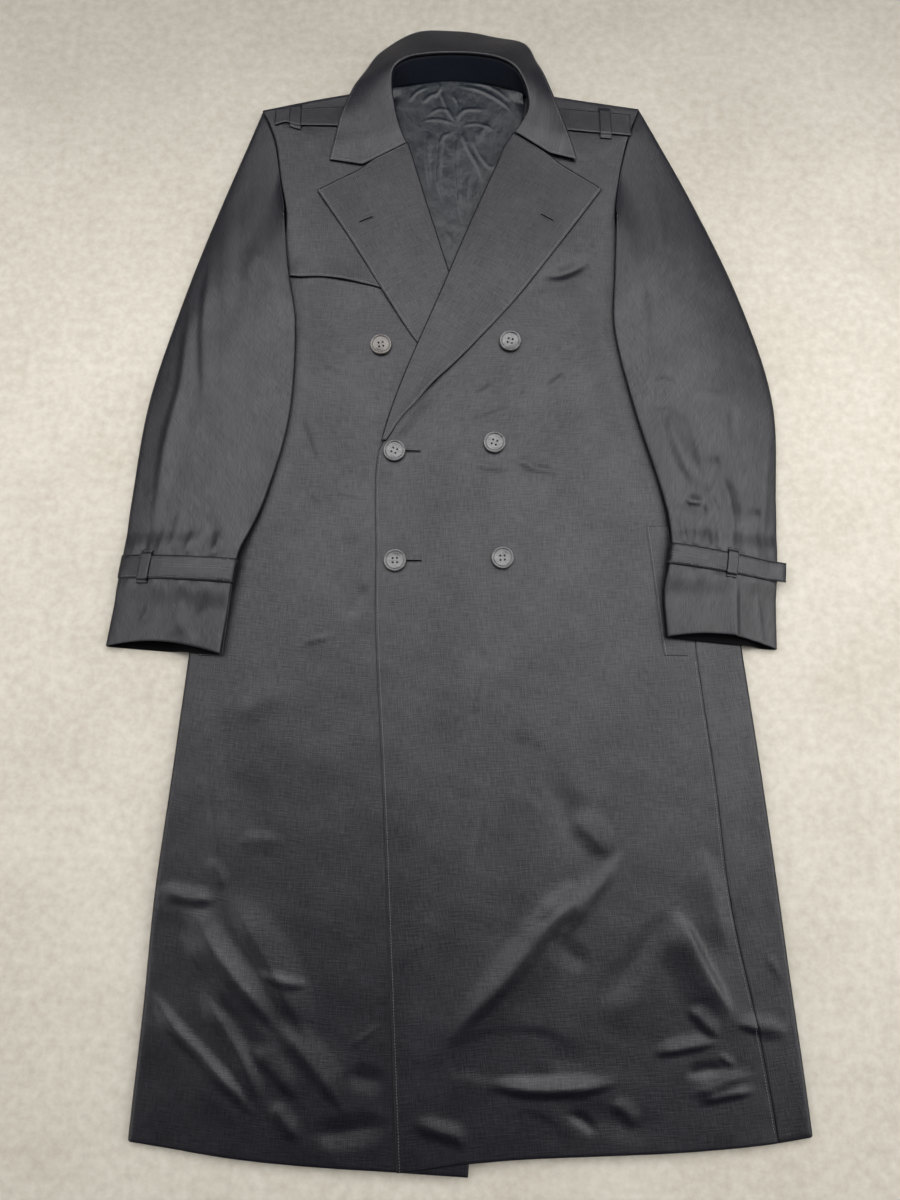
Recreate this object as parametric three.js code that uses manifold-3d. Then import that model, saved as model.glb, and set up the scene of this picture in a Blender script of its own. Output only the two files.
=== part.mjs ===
// Long double-breasted coat, laid flat on its back with the front up and the sleeves folded
// slightly over it. Millimetres, +Z up, +Y towards the collar, +X towards the wearer's left.
// Every piece of cloth is a closed wall grown from a grid of points on its visible face.
import * as THREE from "three";
import { mergeVertices } from "three/addons/utils/BufferGeometryUtils.js";
import Module from "manifold-3d";

// Driving dimensions
const CLOTH = 1.6;            // wall of one layer of coat cloth
const FACED = 1.8;            // wall of a faced piece, such as a lapel
const TRIM = 1.5;             // wall of straps, loops and welts
const SEAM = 0.3;             // gap left at a seam
const LAY = 0.6;              // gap left under a piece that lies on another
const EDGE_R = 5;             // radius of the soft fold along the coat's sides and shoulders
const SIDE_H = 2 * EDGE_R;    // height of the coat at its side folds
const CROWN = 4;              // how much higher the coat is in the middle
const ROLL_R = 2.4;           // radius of the rolled edge of lapels and collar
const BUTTON_D = 26;
const BUTTON_H = 4.2;
const ARMPIT_Y = 915;
const BREAK_Y = 785;          // where the lapels start, at the second row of buttons
const RAMP = 24;              // run in which a sleeve steps down from the body to the floor
const SHOULDER_Y = 1236;      // height of the shoulder tips
const HEM_Y = 4;              // height at which the rows start, before the hem's curve
const NECK_X = 5;
const LINING_LOW_Y = 920;
const LINING_WALL = 1;
const ROLL_SET_BACK = 3.4;    // how far the fronts end short of the lapels' rolled edges
const ROLL_ANGLES = [-30, 0, 30, 60];
const NOTCH_AT = 0.56;        // where along the collar's front edge the notch lies
const STATION = 105;          // mean distance between two stations of a sleeve
const CUFF_STATION = 57;      // and between the last two, at the cuff
const SLEEVE_W = 150;         // mean width of a sleeve
const SLEEVE_CROWN = 8;
const CUFF_LIP = 9;           // how far the cuff's upper lip draws back
const STRAP_AT = 5.34;        // station of the cuff strap
const STRAP_SPAN = 0.46;      // its width in stations
const STRAP_ROOM = 3;         // room that the strap takes under the sleeve
const LOOP_W = 14;
const LOOP_L = 38;
const LOOP_WALL = 1.2;
const WELT_W = 27;
const BUTTON_HOLE_AT = 2.5;
const BACK_COLUMNS = 6;
const FALL_COLUMNS = 5;
const FRONT_COLUMNS = 12;
const FOLD_STEPS = [0, 0.15, 1.3, EDGE_R];   // how far in from a soft fold the points stand

const GREY = 0x505053;
const GREY_DARK = 0x3c3d43;
const LINING = 0x2b3440;
const HORN = 0x1d1b1b;

// Outline of the body, a row for each height on the coat
const SIDES = [
  { y: 4, right: -331, left: 373, seam: 336 },
  { y: 143, right: -324, left: 364, seam: 320 },
  { y: 269, right: -319, left: 355, seam: 300 },
  { y: 395, right: -308, left: 345, seam: 291 },
  { y: 534, right: -296, left: 332, seam: 278 },
  { y: 700, right: -282, left: 317, seam: 268 },
  { y: 860, right: -271, left: 304, seam: 282 },
  { y: 905, right: -268, left: 301, seam: 292 },
];
// Armholes: x on the front and the back panel at each height
const ARMHOLES = [
  { y: 915, frontR: -268, backR: -268, frontL: 287, backL: 301 },
  { y: 930, frontR: -243, backR: -263, frontL: 262, backL: 295 },
  { y: 955, frontR: -224, backR: -259, frontL: 231, backL: 288 },
  { y: 1000, frontR: -209, backR: -253, frontL: 211, backL: 277 },
  { y: 1074, frontR: -204, backR: -247, frontL: 205, backL: 262 },
  { y: 1128, frontR: -212, backR: -244, frontL: 211, backL: 253 },
  { y: 1188, frontR: -222, backR: -241, frontL: 225, backL: 246 },
  { y: 1236, frontR: -240, backR: -240, frontL: 242, backL: 242 },
];
// Top of the back panel, from one shoulder tip over the neck to the other
const SHOULDERS = [
  { x: -240, y: 1236 },
  { x: -170, y: 1252 },
  { x: -95, y: 1266 },
  { x: 8, y: 1281 },
  { x: 96, y: 1263 },
  { x: 170, y: 1250 },
  { x: 242, y: 1238 },
];
// Inner edge of each front: neckline, roll line of the lapel, then the straight front edge
const EDGE_RIGHT = [
  { y: 4, x: 18 },
  { y: 373, x: 46 },
  { y: 640, x: 70 },
  { y: 785, x: 66 },
  { y: 1006, x: -1 },
  { y: 1076, x: -22 },
  { y: 1178, x: -53 },
  { y: 1215, x: -72 },
  { y: 1266, x: -95 },
];
const EDGE_LEFT = [
  { y: 4, x: -54 },
  { y: 373, x: -73 },
  { y: 560, x: -84 },
  { y: 643, x: -85 },
  { y: 785, x: -81 },
  { y: 1004, x: -1 },
  { y: 1171, x: 66 },
  { y: 1194, x: 80 },
  { y: 1215, x: 88 },
  { y: 1263, x: 96 },
];
// Outer edges of the lapels, from the point down to the break
const LAPEL_RIGHT = [
  { y: 785, x: 62 },
  { y: 850, x: 14 },
  { y: 908, x: -37 },
  { y: 969, x: -76 },
  { y: 1040, x: -118 },
  { y: 1114, x: -165 },
];
const LAPEL_LEFT = [
  { y: 778, x: -80 },
  { y: 790, x: -72 },
  { y: 813, x: -57 },
  { y: 832, x: -40 },
  { y: 857, x: -20 },
  { y: 882, x: 5 },
  { y: 911, x: 32 },
  { y: 969, x: 82 },
  { y: 1040, x: 134 },
  { y: 1117, x: 189 },
];
// Collar: neck seam, roll line and outer edge at stations from one collar point to the other
const COLLAR = [
  { nx: -57, ny: 1182, nz: 16, x: -54, y: 1180, z: 21, ex: -151, ey: 1157, ez: 20, dip: 17 },
  { nx: -72, ny: 1204, nz: 16, x: -63, y: 1202, z: 23, ex: -145, ey: 1187, ez: 21, dip: 5 },
  { nx: -81, ny: 1230, nz: 15, x: -69, y: 1228, z: 25, ex: -136, ey: 1226, ez: 22, dip: 0 },
  { nx: -84, ny: 1254, nz: 11, x: -73, y: 1256, z: 28, ex: -124, ey: 1261, ez: 17, dip: 0 },
  { nx: -76, ny: 1270, nz: 6, x: -70, y: 1281, z: 30, ex: -110, ey: 1291, ez: 10, dip: 0 },
  { nx: -52, ny: 1276, nz: 3, x: -52, y: 1294, z: 31, ex: -89, ey: 1325, ez: 6, dip: 0 },
  { nx: -22, ny: 1280, nz: 3, x: -22, y: 1299, z: 31, ex: -46, ey: 1355, ez: 4, dip: 0 },
  { nx: 8, ny: 1281, nz: 3, x: 8, y: 1300, z: 31, ex: 8, ey: 1357, ez: 4, dip: 0 },
  { nx: 38, ny: 1279, nz: 3, x: 38, y: 1298, z: 31, ex: 56, ey: 1349, ez: 4, dip: 0 },
  { nx: 62, ny: 1275, nz: 3, x: 64, y: 1292, z: 31, ex: 97, ey: 1337, ez: 6, dip: 0 },
  { nx: 88, ny: 1264, nz: 6, x: 83, y: 1280, z: 30, ex: 113, ey: 1304, ez: 10, dip: 0 },
  { nx: 103, ny: 1247, nz: 13, x: 95, y: 1256, z: 28, ex: 124, ey: 1273, ez: 17, dip: 0 },
  { nx: 108, ny: 1228, nz: 15, x: 99, y: 1230, z: 25, ex: 134, ey: 1238, ez: 22, dip: 0 },
  { nx: 98, ny: 1208, nz: 16, x: 91, y: 1210, z: 23, ex: 148, ey: 1196, ez: 21, dip: 5 },
  { nx: 84, ny: 1197, nz: 16, x: 81, y: 1196, z: 21, ex: 159, ey: 1157, ez: 20, dip: 8 },
];
// Sleeves: outer and inner fold of the flat tube at stations from the armhole to the cuff
const SLEEVE_RIGHT = [
  { ox: -242.5, oy: 1234.5, ix: -205, iy: 1074 },
  { ox: -285, oy: 1105, ix: -196, iy: 1003 },
  { ox: -327, oy: 969, ix: -185, iy: 929 },
  { ox: -360, oy: 839, ix: -189, iy: 814 },
  { ox: -373, oy: 715, ix: -214, iy: 715 },
  { ox: -377, oy: 655, ix: -241, iy: 648 },
  { ox: -384, oy: 598, ix: -250, iy: 588 },
  { ox: -391, oy: 544, ix: -257, iy: 533 },
];
const SLEEVE_LEFT = [
  { ox: 243, oy: 1237, ix: 206, iy: 1070 },
  { ox: 303, oy: 1105, ix: 200, iy: 1000 },
  { ox: 355, oy: 969, ix: 197, iy: 925 },
  { ox: 386, oy: 839, ix: 217, iy: 825 },
  { ox: 382, oy: 715, ix: 247, iy: 715 },
  { ox: 378, oy: 650, ix: 252, iy: 658 },
  { ox: 374, oy: 600, ix: 242, iy: 606 },
  { ox: 371, oy: 540, ix: 243, iy: 552 },
];
// Largest folds of the fronts: a line, its half width and how far it stands up or sinks
const FOLDS = [
  { x0: -292, y0: 262, x1: -150, y1: 75, w: 15, h: 5 },
  { x0: -252, y0: 262, x1: -178, y1: 120, w: 14, h: -3 },
  { x0: -262, y0: 205, x1: -172, y1: 60, w: 13, h: -2.5 },
  { x0: -330, y0: 150, x1: -214, y1: 30, w: 16, h: 4 },
  { x0: -318, y0: 262, x1: -246, y1: 250, w: 13, h: 3.5 },
  { x0: -235, y0: 420, x1: -190, y1: 300, w: 20, h: -2.5 },
  { x0: 184, y0: 308, x1: -20, y1: 100, w: 17, h: 6 },
  { x0: 170, y0: 340, x1: 120, y1: 215, w: 18, h: -3 },
  { x0: 60, y0: 440, x1: 160, y1: 300, w: 20, h: -2.5 },
  { x0: 244, y0: 252, x1: 300, y1: 120, w: 18, h: 4.5 },
  { x0: 244, y0: 252, x1: 168, y1: 140, w: 16, h: 4 },
  { x0: 90, y0: 60, x1: 210, y1: 24, w: 14, h: -3 },
  { x0: -185, y0: 845, x1: -142, y1: 752, w: 16, h: -3 },
  { x0: 98, y0: 990, x1: 185, y1: 1010, w: 16, h: -3 },
];
const BUTTONS = [
  { name: "button_right_1", x: -83, y: 908 },
  { name: "button_left_1", x: 72, y: 910 },
  { name: "button_right_2", x: -65, y: 772 },
  { name: "button_left_2", x: 52, y: 782 },
  { name: "button_right_3", x: -63, y: 641 },
  { name: "button_left_3", x: 60, y: 644 },
];

// How far the hem rises over the coat's width; the corner of the wearer's right front, which lies
// under the left one, hangs lower
const HEM = [
  { x: -331, y: 28 },
  { x: -193, y: 10 },
  { x: -54, y: 1 },
  { x: 18, y: 9 },
  { x: 91, y: 14 },
  { x: 194, y: 17 },
  { x: 276, y: 21.5 },
  { x: 332, y: 26 },
  { x: 373, y: 32 },
];
const HEM_RIGHT = [
  { x: -331, y: 28 },
  { x: -193, y: 10 },
  { x: -54, y: 0.5 },
  { x: 18, y: -4 },
];
// Heights at which the panels have points, closer near the armpit and the shoulder seam
const BODY_ROWS = [HEM_Y, 44, 84, 124, 164, 204, 244, 290, 340, 400, 470, 540, 620, 700, 770, 830,
  880, 905, 915, 930, 955, 1000, 1040, 1074, 1120, 1165, 1208,
  ...FOLD_STEPS.map((d) => SHOULDER_Y - d).reverse()];
const SLEEVE_ROWS = [0, 0.3, 0.6, 0.95, 1.3, 1.7, 2.1, 2.6, 3.1, 3.6, 4.1, 4.55, 4.85, 5.11, 5.34,
  5.57, 5.9, 6.3, 6.65, 7];
// Points across a sleeve's upper layer, from its outer fold to its inner one
const SLEEVE_STEPS = [0, 0.012, 0.05, 0.12, 0.22, 0.34, 0.46, 0.58, 0.7, 0.82, 0.92, 0.985, 1];
// Largest folds of the sleeves: from station and place across to station and place across
const SLEEVE_FOLDS_RIGHT = [
  { at0: 0.6, t0: 0.5, at1: 2.4, t1: 0.42, w: 16, h: -2.5 },
  { at0: 1.5, t0: 0.14, at1: 4.6, t1: 0.2, w: 12, h: 3 },
  { at0: 4.2, t0: 0.75, at1: 5, t1: 0.55, w: 10, h: 2.5 },
  { at0: 5.8, t0: 0.55, at1: 6.9, t1: 0.6, w: 12, h: 2.5 },
];
const SLEEVE_FOLDS_LEFT = [
  { at0: 0.2, t0: 0.75, at1: 1.8, t1: 0.82, w: 12, h: 3 },
  { at0: 3, t0: 0.95, at1: 3.9, t1: 0.6, w: 11, h: 3 },
  { at0: 3.7, t0: 0.4, at1: 4.9, t1: 0.62, w: 10, h: 3 },
  { at0: 5.7, t0: 0.36, at1: 7.2, t1: 0.36, w: 11, h: 4 },
  { at0: 5.7, t0: 0.12, at1: 7.2, t1: 0.12, w: 22, h: -3 },
];
// A loop over a strap, seen along the strap: on the cloth, up, over it and down again
const LOOP_PROFILE = [
  { v: -1, over: 0 },
  { v: -0.84, over: 0.15 },
  { v: -0.74, over: 1 },
  { v: 0, over: 1.1 },
  { v: 0.74, over: 1 },
  { v: 0.84, over: 0.15 },
  { v: 1, over: 0 },
];
const WELT_RIGHT = { lowY: 532, highY: 683, lowX: -257, highX: -243, outwards: -1 };
const WELT_LEFT = { lowY: 532, highY: 683, lowX: 241, highX: 227, outwards: 1 };

const clamp01 = (t) => Math.min(1, Math.max(0, t));
const mix = (a, b, t) => a + (b - a) * t;
const ease = (a, b, x) => {
  const t = clamp01((x - a) / (b - a));
  return t * t * (3 - 2 * t);
};
const point = (x, y, z) => new THREE.Vector3(x, y, z);

// Column `value` of a table read at `at` in its column `key`, joined by smooth curves
function read(table, key, value, at) {
  const last = table.length - 1;
  const slope = (i) => {
    const a = table[Math.max(0, i - 1)];
    const b = table[Math.min(last, i + 1)];
    return (b[value] - a[value]) / (b[key] - a[key]);
  };
  let i = 0;
  while (i < last - 1 && at > table[i + 1][key]) i += 1;
  const [p, q] = [table[i], table[i + 1]];
  const run = q[key] - p[key];
  const t = clamp01((at - p[key]) / run);
  const [t2, t3] = [t * t, t * t * t];
  return (2 * t3 - 3 * t2 + 1) * p[value] + (t3 - 2 * t2 + t) * run * slope(i)
    + (3 * t2 - 2 * t3) * q[value] + (t3 - t2) * run * slope(i + 1);
}

// The same table read by row number, as a smooth curve through all its columns
function station(table, at) {
  const numbered = table.map((row, i) => ({ ...row, i }));
  const result = {};
  for (const column of Object.keys(table[0])) {
    result[column] = read(numbered, "i", column, at);
  }
  return result;
}

// Outline of the body at a height, with the armholes above the armpits
function bodySides(y) {
  if (y < ARMPIT_Y - 10) {
    return {
      right: read(SIDES, "y", "right", y),
      left: read(SIDES, "y", "left", y),
      seam: read(SIDES, "y", "seam", y),
    };
  }
  const at = Math.max(y, ARMPIT_Y);
  return {
    right: read(ARMHOLES, "y", "backR", at),
    left: read(ARMHOLES, "y", "backL", at),
    seam: 292,
  };
}

function foldHeight(x, y, onlyRaised) {
  let sum = 0;
  for (const f of FOLDS) {
    const [dx, dy] = [f.x1 - f.x0, f.y1 - f.y0];
    const length = Math.hypot(dx, dy);
    const s = ((x - f.x0) * dx + (y - f.y0) * dy) / length;
    const off = Math.abs((x - f.x0) * dy - (y - f.y0) * dx) / length;
    const ends = ease(-10, 0.25 * length, s) * ease(-10, 0.25 * length, length - s);
    const rise = f.h * Math.exp(-((off / f.w) ** 2)) * ends;
    sum += onlyRaised ? Math.max(0, rise) : rise;
  }
  return sum;
}

const shoulderY = (x) => read(SHOULDERS, "x", "y", Math.max(-240, Math.min(242, x)));

// How far a panel's points move up the coat where its rows bend to follow the shoulders
const warp = (x, y) => (shoulderY(x) - SHOULDER_Y) * ease(980, SHOULDER_Y, y);

// How far the cloth falls from its full height towards a soft fold that is `d` away
function drop(d) {
  const t = clamp01(d / EDGE_R);
  return 1 - Math.sqrt(Math.max(0, 1 - (1 - t) ** 2));
}

// Height of the coat's upper layer, without folds or what lies on it
function plainTop(x, y) {
  const sides = bodySides(Math.min(y, ARMPIT_Y));
  const toShoulder = shoulderY(x) - y;
  const inside = Math.min(x - sides.right, sides.left - x, 1.6 * toShoulder);
  const top = SIDE_H + CROWN * ease(0, 110, inside);
  return top - (top - EDGE_R) * drop(Math.max(0, toShoulder));
}

// The storm flap on the wearer's right chest, and the height that it adds
const FLAP_EDGE = [
  { x: -212, y: 1000 },
  { x: -150, y: 997 },
  { x: -95, y: 986 },
  { x: -66, y: 976 },
];
const flapHeight = (x, y) => (LAY + CLOTH) * ease(962, 978, y) * (1 - ease(-40, 0, x));

// The height that the wearer's left front gains over the right front and the right lapel
function overlap(x, y) {
  const onFront = 1 - ease(90, 200, x);
  const onLapel = (1 - ease(60, 150, x)) * ease(690, 780, y);
  return ((LAY + CLOTH) * onFront + (2 * LAY + FACED) * onLapel) * (1 - ease(1010, 1190, y));
}

// Folds show below the cuffs, and above them only between the sleeves
const showing = (x, y) => 1 - ease(470, 520, y) * ease(150, 185, Math.abs(x + 5));

const rightTop = (x, y) => plainTop(x, y)
  + foldHeight(x, y, false) * showing(x, y) * (1 - ease(-125, -95, x));

function leftTop(x, y) {
  const free = ease(95, 130, x);
  const folds = mix(foldHeight(x, y, true), foldHeight(x, y, false), free);
  return plainTop(x, y) + overlap(x, y) + folds * showing(x, y);
}

// What a piece that lies on the wearer's right or left front rests on
const onRight = (x, y) => plainTop(x, y) + flapHeight(x, y);
const onLeft = (x, y) => plainTop(x, y) + overlap(x, y);

// Outward normals of a grid of points on a visible face
function normalsOf(rows, up, tube) {
  const [m, n] = [rows.length, rows[0].length];
  const wrap = (j) => (tube ? (j + n) % n : Math.min(n - 1, Math.max(0, j)));
  let facing = 0;
  const normals = rows.map((row, i) => {
    const centre = row.reduce((s, p) => s.add(p), point(0, 0, 0)).divideScalar(n);
    return row.map((p, j) => {
      const along = rows[Math.min(m - 1, i + 1)][j].clone().sub(rows[Math.max(0, i - 1)][j]);
      const across = row[wrap(j + 1)].clone().sub(row[wrap(j - 1)]);
      const normal = across.cross(along).normalize();
      facing += tube ? normal.dot(p.clone().sub(centre)) : normal.z * up;
      return normal;
    });
  });
  normals.forEach((row) => row.forEach((normal) => normal.multiplyScalar(Math.sign(facing))));
  return normals;
}

const moved = (rows, normals, distance) => rows.map((row, i) => row.map((p, j) => (
  p.clone().addScaledVector(normals[i][j], distance))));

// A closed wall of cloth behind its visible face, which looks up where `up` is 1 and down where
// it is -1; a `tube` closes each row on itself
function cloth(rows, thickness, { up = 1, tube = false } = {}) {
  return wall(rows, moved(rows, normalsOf(rows, up, tube), -thickness), tube);
}

// Joins two grids of points into one closed mesh
function wall(outer, inner, tube) {
  const [m, n] = [outer.length, outer[0].length];
  const positions = [];
  const indices = [];
  for (const p of [...outer.flat(), ...inner.flat()]) positions.push(p.x, p.y, p.z);
  const o = (i, j) => i * n + (j % n);
  const k = (i, j) => m * n + o(i, j);
  const quad = (a, b, c, d) => indices.push(a, b, c, a, c, d);
  const columns = tube ? n : n - 1;
  for (let i = 0; i < m - 1; i += 1) {
    for (let j = 0; j < columns; j += 1) {
      quad(o(i, j), o(i, j + 1), o(i + 1, j + 1), o(i + 1, j));
      quad(k(i, j), k(i + 1, j), k(i + 1, j + 1), k(i, j + 1));
    }
  }
  for (let j = 0; j < columns; j += 1) {
    quad(o(0, j), k(0, j), k(0, j + 1), o(0, j + 1));
    quad(o(m - 1, j), o(m - 1, j + 1), k(m - 1, j + 1), k(m - 1, j));
  }
  for (let i = 0; i < m - 1 && !tube; i += 1) {
    quad(o(i, 0), o(i + 1, 0), k(i + 1, 0), k(i, 0));
    quad(o(i, n - 1), k(i, n - 1), k(i + 1, n - 1), o(i + 1, n - 1));
  }
  const geometry = new THREE.BufferGeometry();
  geometry.setAttribute("position", new THREE.Float32BufferAttribute(positions, 3));
  geometry.setIndex(signedVolume(positions, indices) < 0 ? indices.reverse() : indices);
  return geometry;
}

function signedVolume(positions, indices) {
  const corner = (i) => point(...positions.slice(3 * i, 3 * i + 3));
  let sum = 0;
  for (let i = 0; i < indices.length; i += 3) {
    sum += corner(indices[i]).dot(corner(indices[i + 1]).cross(corner(indices[i + 2])));
  }
  return sum / 6;
}

const coat = new THREE.Group();
function add(name, geometry, color, roughness = 0.85) {
  geometry.computeVertexNormals();
  const material = new THREE.MeshStandardMaterial({ color, roughness, metalness: 0 });
  const mesh = new THREE.Mesh(geometry, material);
  mesh.name = name;
  coat.add(mesh);
}

const steps = (count) => Array.from({ length: count + 1 }, (_, i) => i / count);

// How much the half turn at the side folds is closed: all of it below the armpit, none above
const closing = (y) => 1 - ease(900, 928, y);
const rowPoint = (x, y, z, hem = HEM) => {
  const rise = (1 - ease(HEM_Y, 220, y)) * read(hem, "x", "y", x);
  return point(x, y + warp(x, y) + rise, z);
};

// Back: flat on the floor, curled up to the side seam at the right, and wrapped over to it at
// the left; its shoulders rise to the shoulder seam
function backPanel() {
  const nearEdge = FOLD_STEPS.slice(0, -1);
  const turn = steps(5).slice(1);
  const over = steps(2).slice(1);
  const strip = 8;
  const rows = BODY_ROWS.map((y) => {
    const sides = bodySides(y);
    const closed = closing(y);
    const [right, left] = [sides.right + SEAM * (1 - closed), sides.left - SEAM * (1 - closed)];
    const list = nearEdge.map((d) => [right + d, closed * (EDGE_R * drop(d) - SEAM)]);
    steps(BACK_COLUMNS).forEach((t) => list.push([mix(right + EDGE_R, left - strip, t), 0]));
    const count = turn.length + over.length;
    turn.forEach((t, k) => {
      const flat = left - strip * (1 - (k + 1) / count);
      const x = left - EDGE_R + EDGE_R * Math.sin(Math.PI * t);
      list.push([mix(flat, x, closed), closed * EDGE_R * (1 - Math.cos(Math.PI * t))]);
    });
    over.forEach((t, k) => {
      const flat = left - strip * (1 - (turn.length + k + 1) / count);
      const x = mix(left - EDGE_R, sides.seam + SEAM, t);
      const top = plainTop(x, y) + foldHeight(x, y, false) * showing(x, y);
      list.push([mix(flat, x, closed), closed * top]);
    });
    return list.map(([x, z]) => {
      const shoulder = ease(72, 92, Math.abs(x - NECK_X)) * EDGE_R * drop(SHOULDER_Y - y);
      return rowPoint(x, y, Math.max(z, shoulder - SEAM * drop(SHOULDER_Y - y) ** 8));
    });
  });
  return cloth(rows, CLOTH, { up: -1 });
}

// A front: rows from its side or armhole to its inner edge, which is set back along the lapel
function frontPanel(outerX, innerTable, top, inward, sideFold, hem) {
  const nearEdge = FOLD_STEPS.slice(0, -1);
  const rows = BODY_ROWS.map((y) => {
    const from = outerX(y);
    const setBack = ROLL_SET_BACK * ease(BREAK_Y - 12, BREAK_Y, y);
    let to = NECK_X;
    for (let round = 0; round < 4; round += 1) {
      to = read(innerTable, "y", "x", y + warp(to, y)) - inward * setBack;
    }
    const xs = nearEdge.map((d) => from + inward * d);
    steps(FRONT_COLUMNS).forEach((t) => xs.push(mix(to, from + inward * EDGE_R, (1 - t) ** 1.25)));
    return xs.map((x) => {
      const height = top(x, y + warp(x, y));
      const fall = sideFold * closing(y) * drop(Math.abs(x - from));
      return rowPoint(x, y, Math.max(EDGE_R + SEAM, height - (height - EDGE_R) * fall), hem);
    });
  });
  return cloth(rows, CLOTH);
}

const rightOuter = (y) => (y < ARMPIT_Y ? bodySides(y).right : read(ARMHOLES, "y", "frontR", y));
const leftOuter = (y) => (y < ARMPIT_Y ? bodySides(y).seam - SEAM
  : read(ARMHOLES, "y", "frontL", y));

// Points across a rolled edge at `roll` and on to `outer`, over a support
function rolledSection(roll, outer, height, columns) {
  const reach = outer.clone().sub(roll);
  const away = reach.clone().setZ(0).normalize();
  const start = roll.clone().addScaledVector(away, ROLL_R);
  const list = ROLL_ANGLES.map((degrees) => {
    const a = THREE.MathUtils.degToRad(degrees);
    const p = roll.clone().addScaledVector(away, ROLL_R * (1 - Math.cos(a)));
    return p.setZ(height(start.x, start.y, 0) - ROLL_R * (1 - Math.sin(a)));
  });
  steps(columns).forEach((t) => {
    const p = start.clone().lerp(outer, t);
    list.push(p.setZ(height(p.x, p.y, t)));
  });
  return list;
}

// A lapel: rows from its narrow end at the break up to the gorge
function lapel(roll, edge, lowY, pointY, gorgeY, support) {
  const rows = steps(16).map((v) => {
    const [yr, ye] = [mix(lowY, gorgeY, v), mix(lowY, pointY, v)];
    const a = point(read(roll, "y", "x", yr), yr, 0);
    const b = point(read(edge, "y", "x", ye), ye, 0);
    return rolledSection(a, b, (x, y) => support(x, y) + LAY + FACED, 5);
  });
  return cloth(rows, FACED);
}

const tent = (t) => Math.min(t / NOTCH_AT, (1 - t) / (1 - NOTCH_AT));

function collarFall() {
  const rows = steps(24).map((v) => {
    const c = station(COLLAR, v * (COLLAR.length - 1));
    const roll = point(c.x, c.y, c.z);
    const edge = point(c.ex, c.ey, c.ez);
    const section = rolledSection(roll, edge, (x, y, t) => mix(c.z, c.ez, t),
      FALL_COLUMNS);
    section.forEach((p, j) => {
      const t = Math.max(0, (j - ROLL_ANGLES.length) / FALL_COLUMNS);
      p.y -= c.dip * tent(t);
    });
    return section;
  });
  return cloth(rows, CLOTH);
}

function collarStand() {
  const rows = steps(24).map((v) => {
    const c = station(COLLAR, mix(0.7, COLLAR.length - 1.7, v));
    const foot = point(c.nx, c.ny, c.nz);
    const roll = point(c.x, c.y, c.z);
    const away = point(c.ex - c.x, c.ey - c.y, 0).normalize();
    const top = roll.addScaledVector(away, 1).setZ(c.z - 2.2 * ROLL_R);
    return steps(3).map((t) => foot.clone().lerp(top, t));
  });
  return cloth(rows, CLOTH);
}

// Lining of the back, where it shows inside the neck, with its long creases
function backLining() {
  const rows = steps(9).map((v) => {
    const y = mix(LINING_LOW_Y, SHOULDER_Y - 3, v);
    const half = mix(100, 80, ease(1190, SHOULDER_Y, y));
    return steps(12).map((t) => {
      const x = mix(NECK_X - half, NECK_X + half, t);
      const fan = (x - NECK_X) / (40 + 0.35 * Math.abs(1290 - y));
      const crease = 1.1 * (1 + Math.sin(4.4 * fan + 0.6)) * ease(1000, 1060, y);
      const level = CLOTH + LAY + LINING_WALL + crease * (1 - ease(50, 85, Math.abs(x - NECK_X)));
      return point(x, y + warp(x, y), level);
    });
  });
  return cloth(rows, LINING_WALL);
}

function stormFlap() {
  const rows = steps(8).map((v) => steps(8).map((t) => {
    const low = read(FLAP_EDGE, "x", "y", mix(-212, -66, t));
    const y = mix(low, SHOULDER_Y - 6, v);
    const from = read(ARMHOLES, "y", "frontR", Math.max(y, ARMPIT_Y)) + 0.6;
    const x = mix(from, mix(-66, -92, v), t);
    const yy = y + warp(x, y);
    return point(x, yy, rightTop(x, yy) + LAY + CLOTH);
  }));
  return cloth(rows, CLOTH);
}

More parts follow.
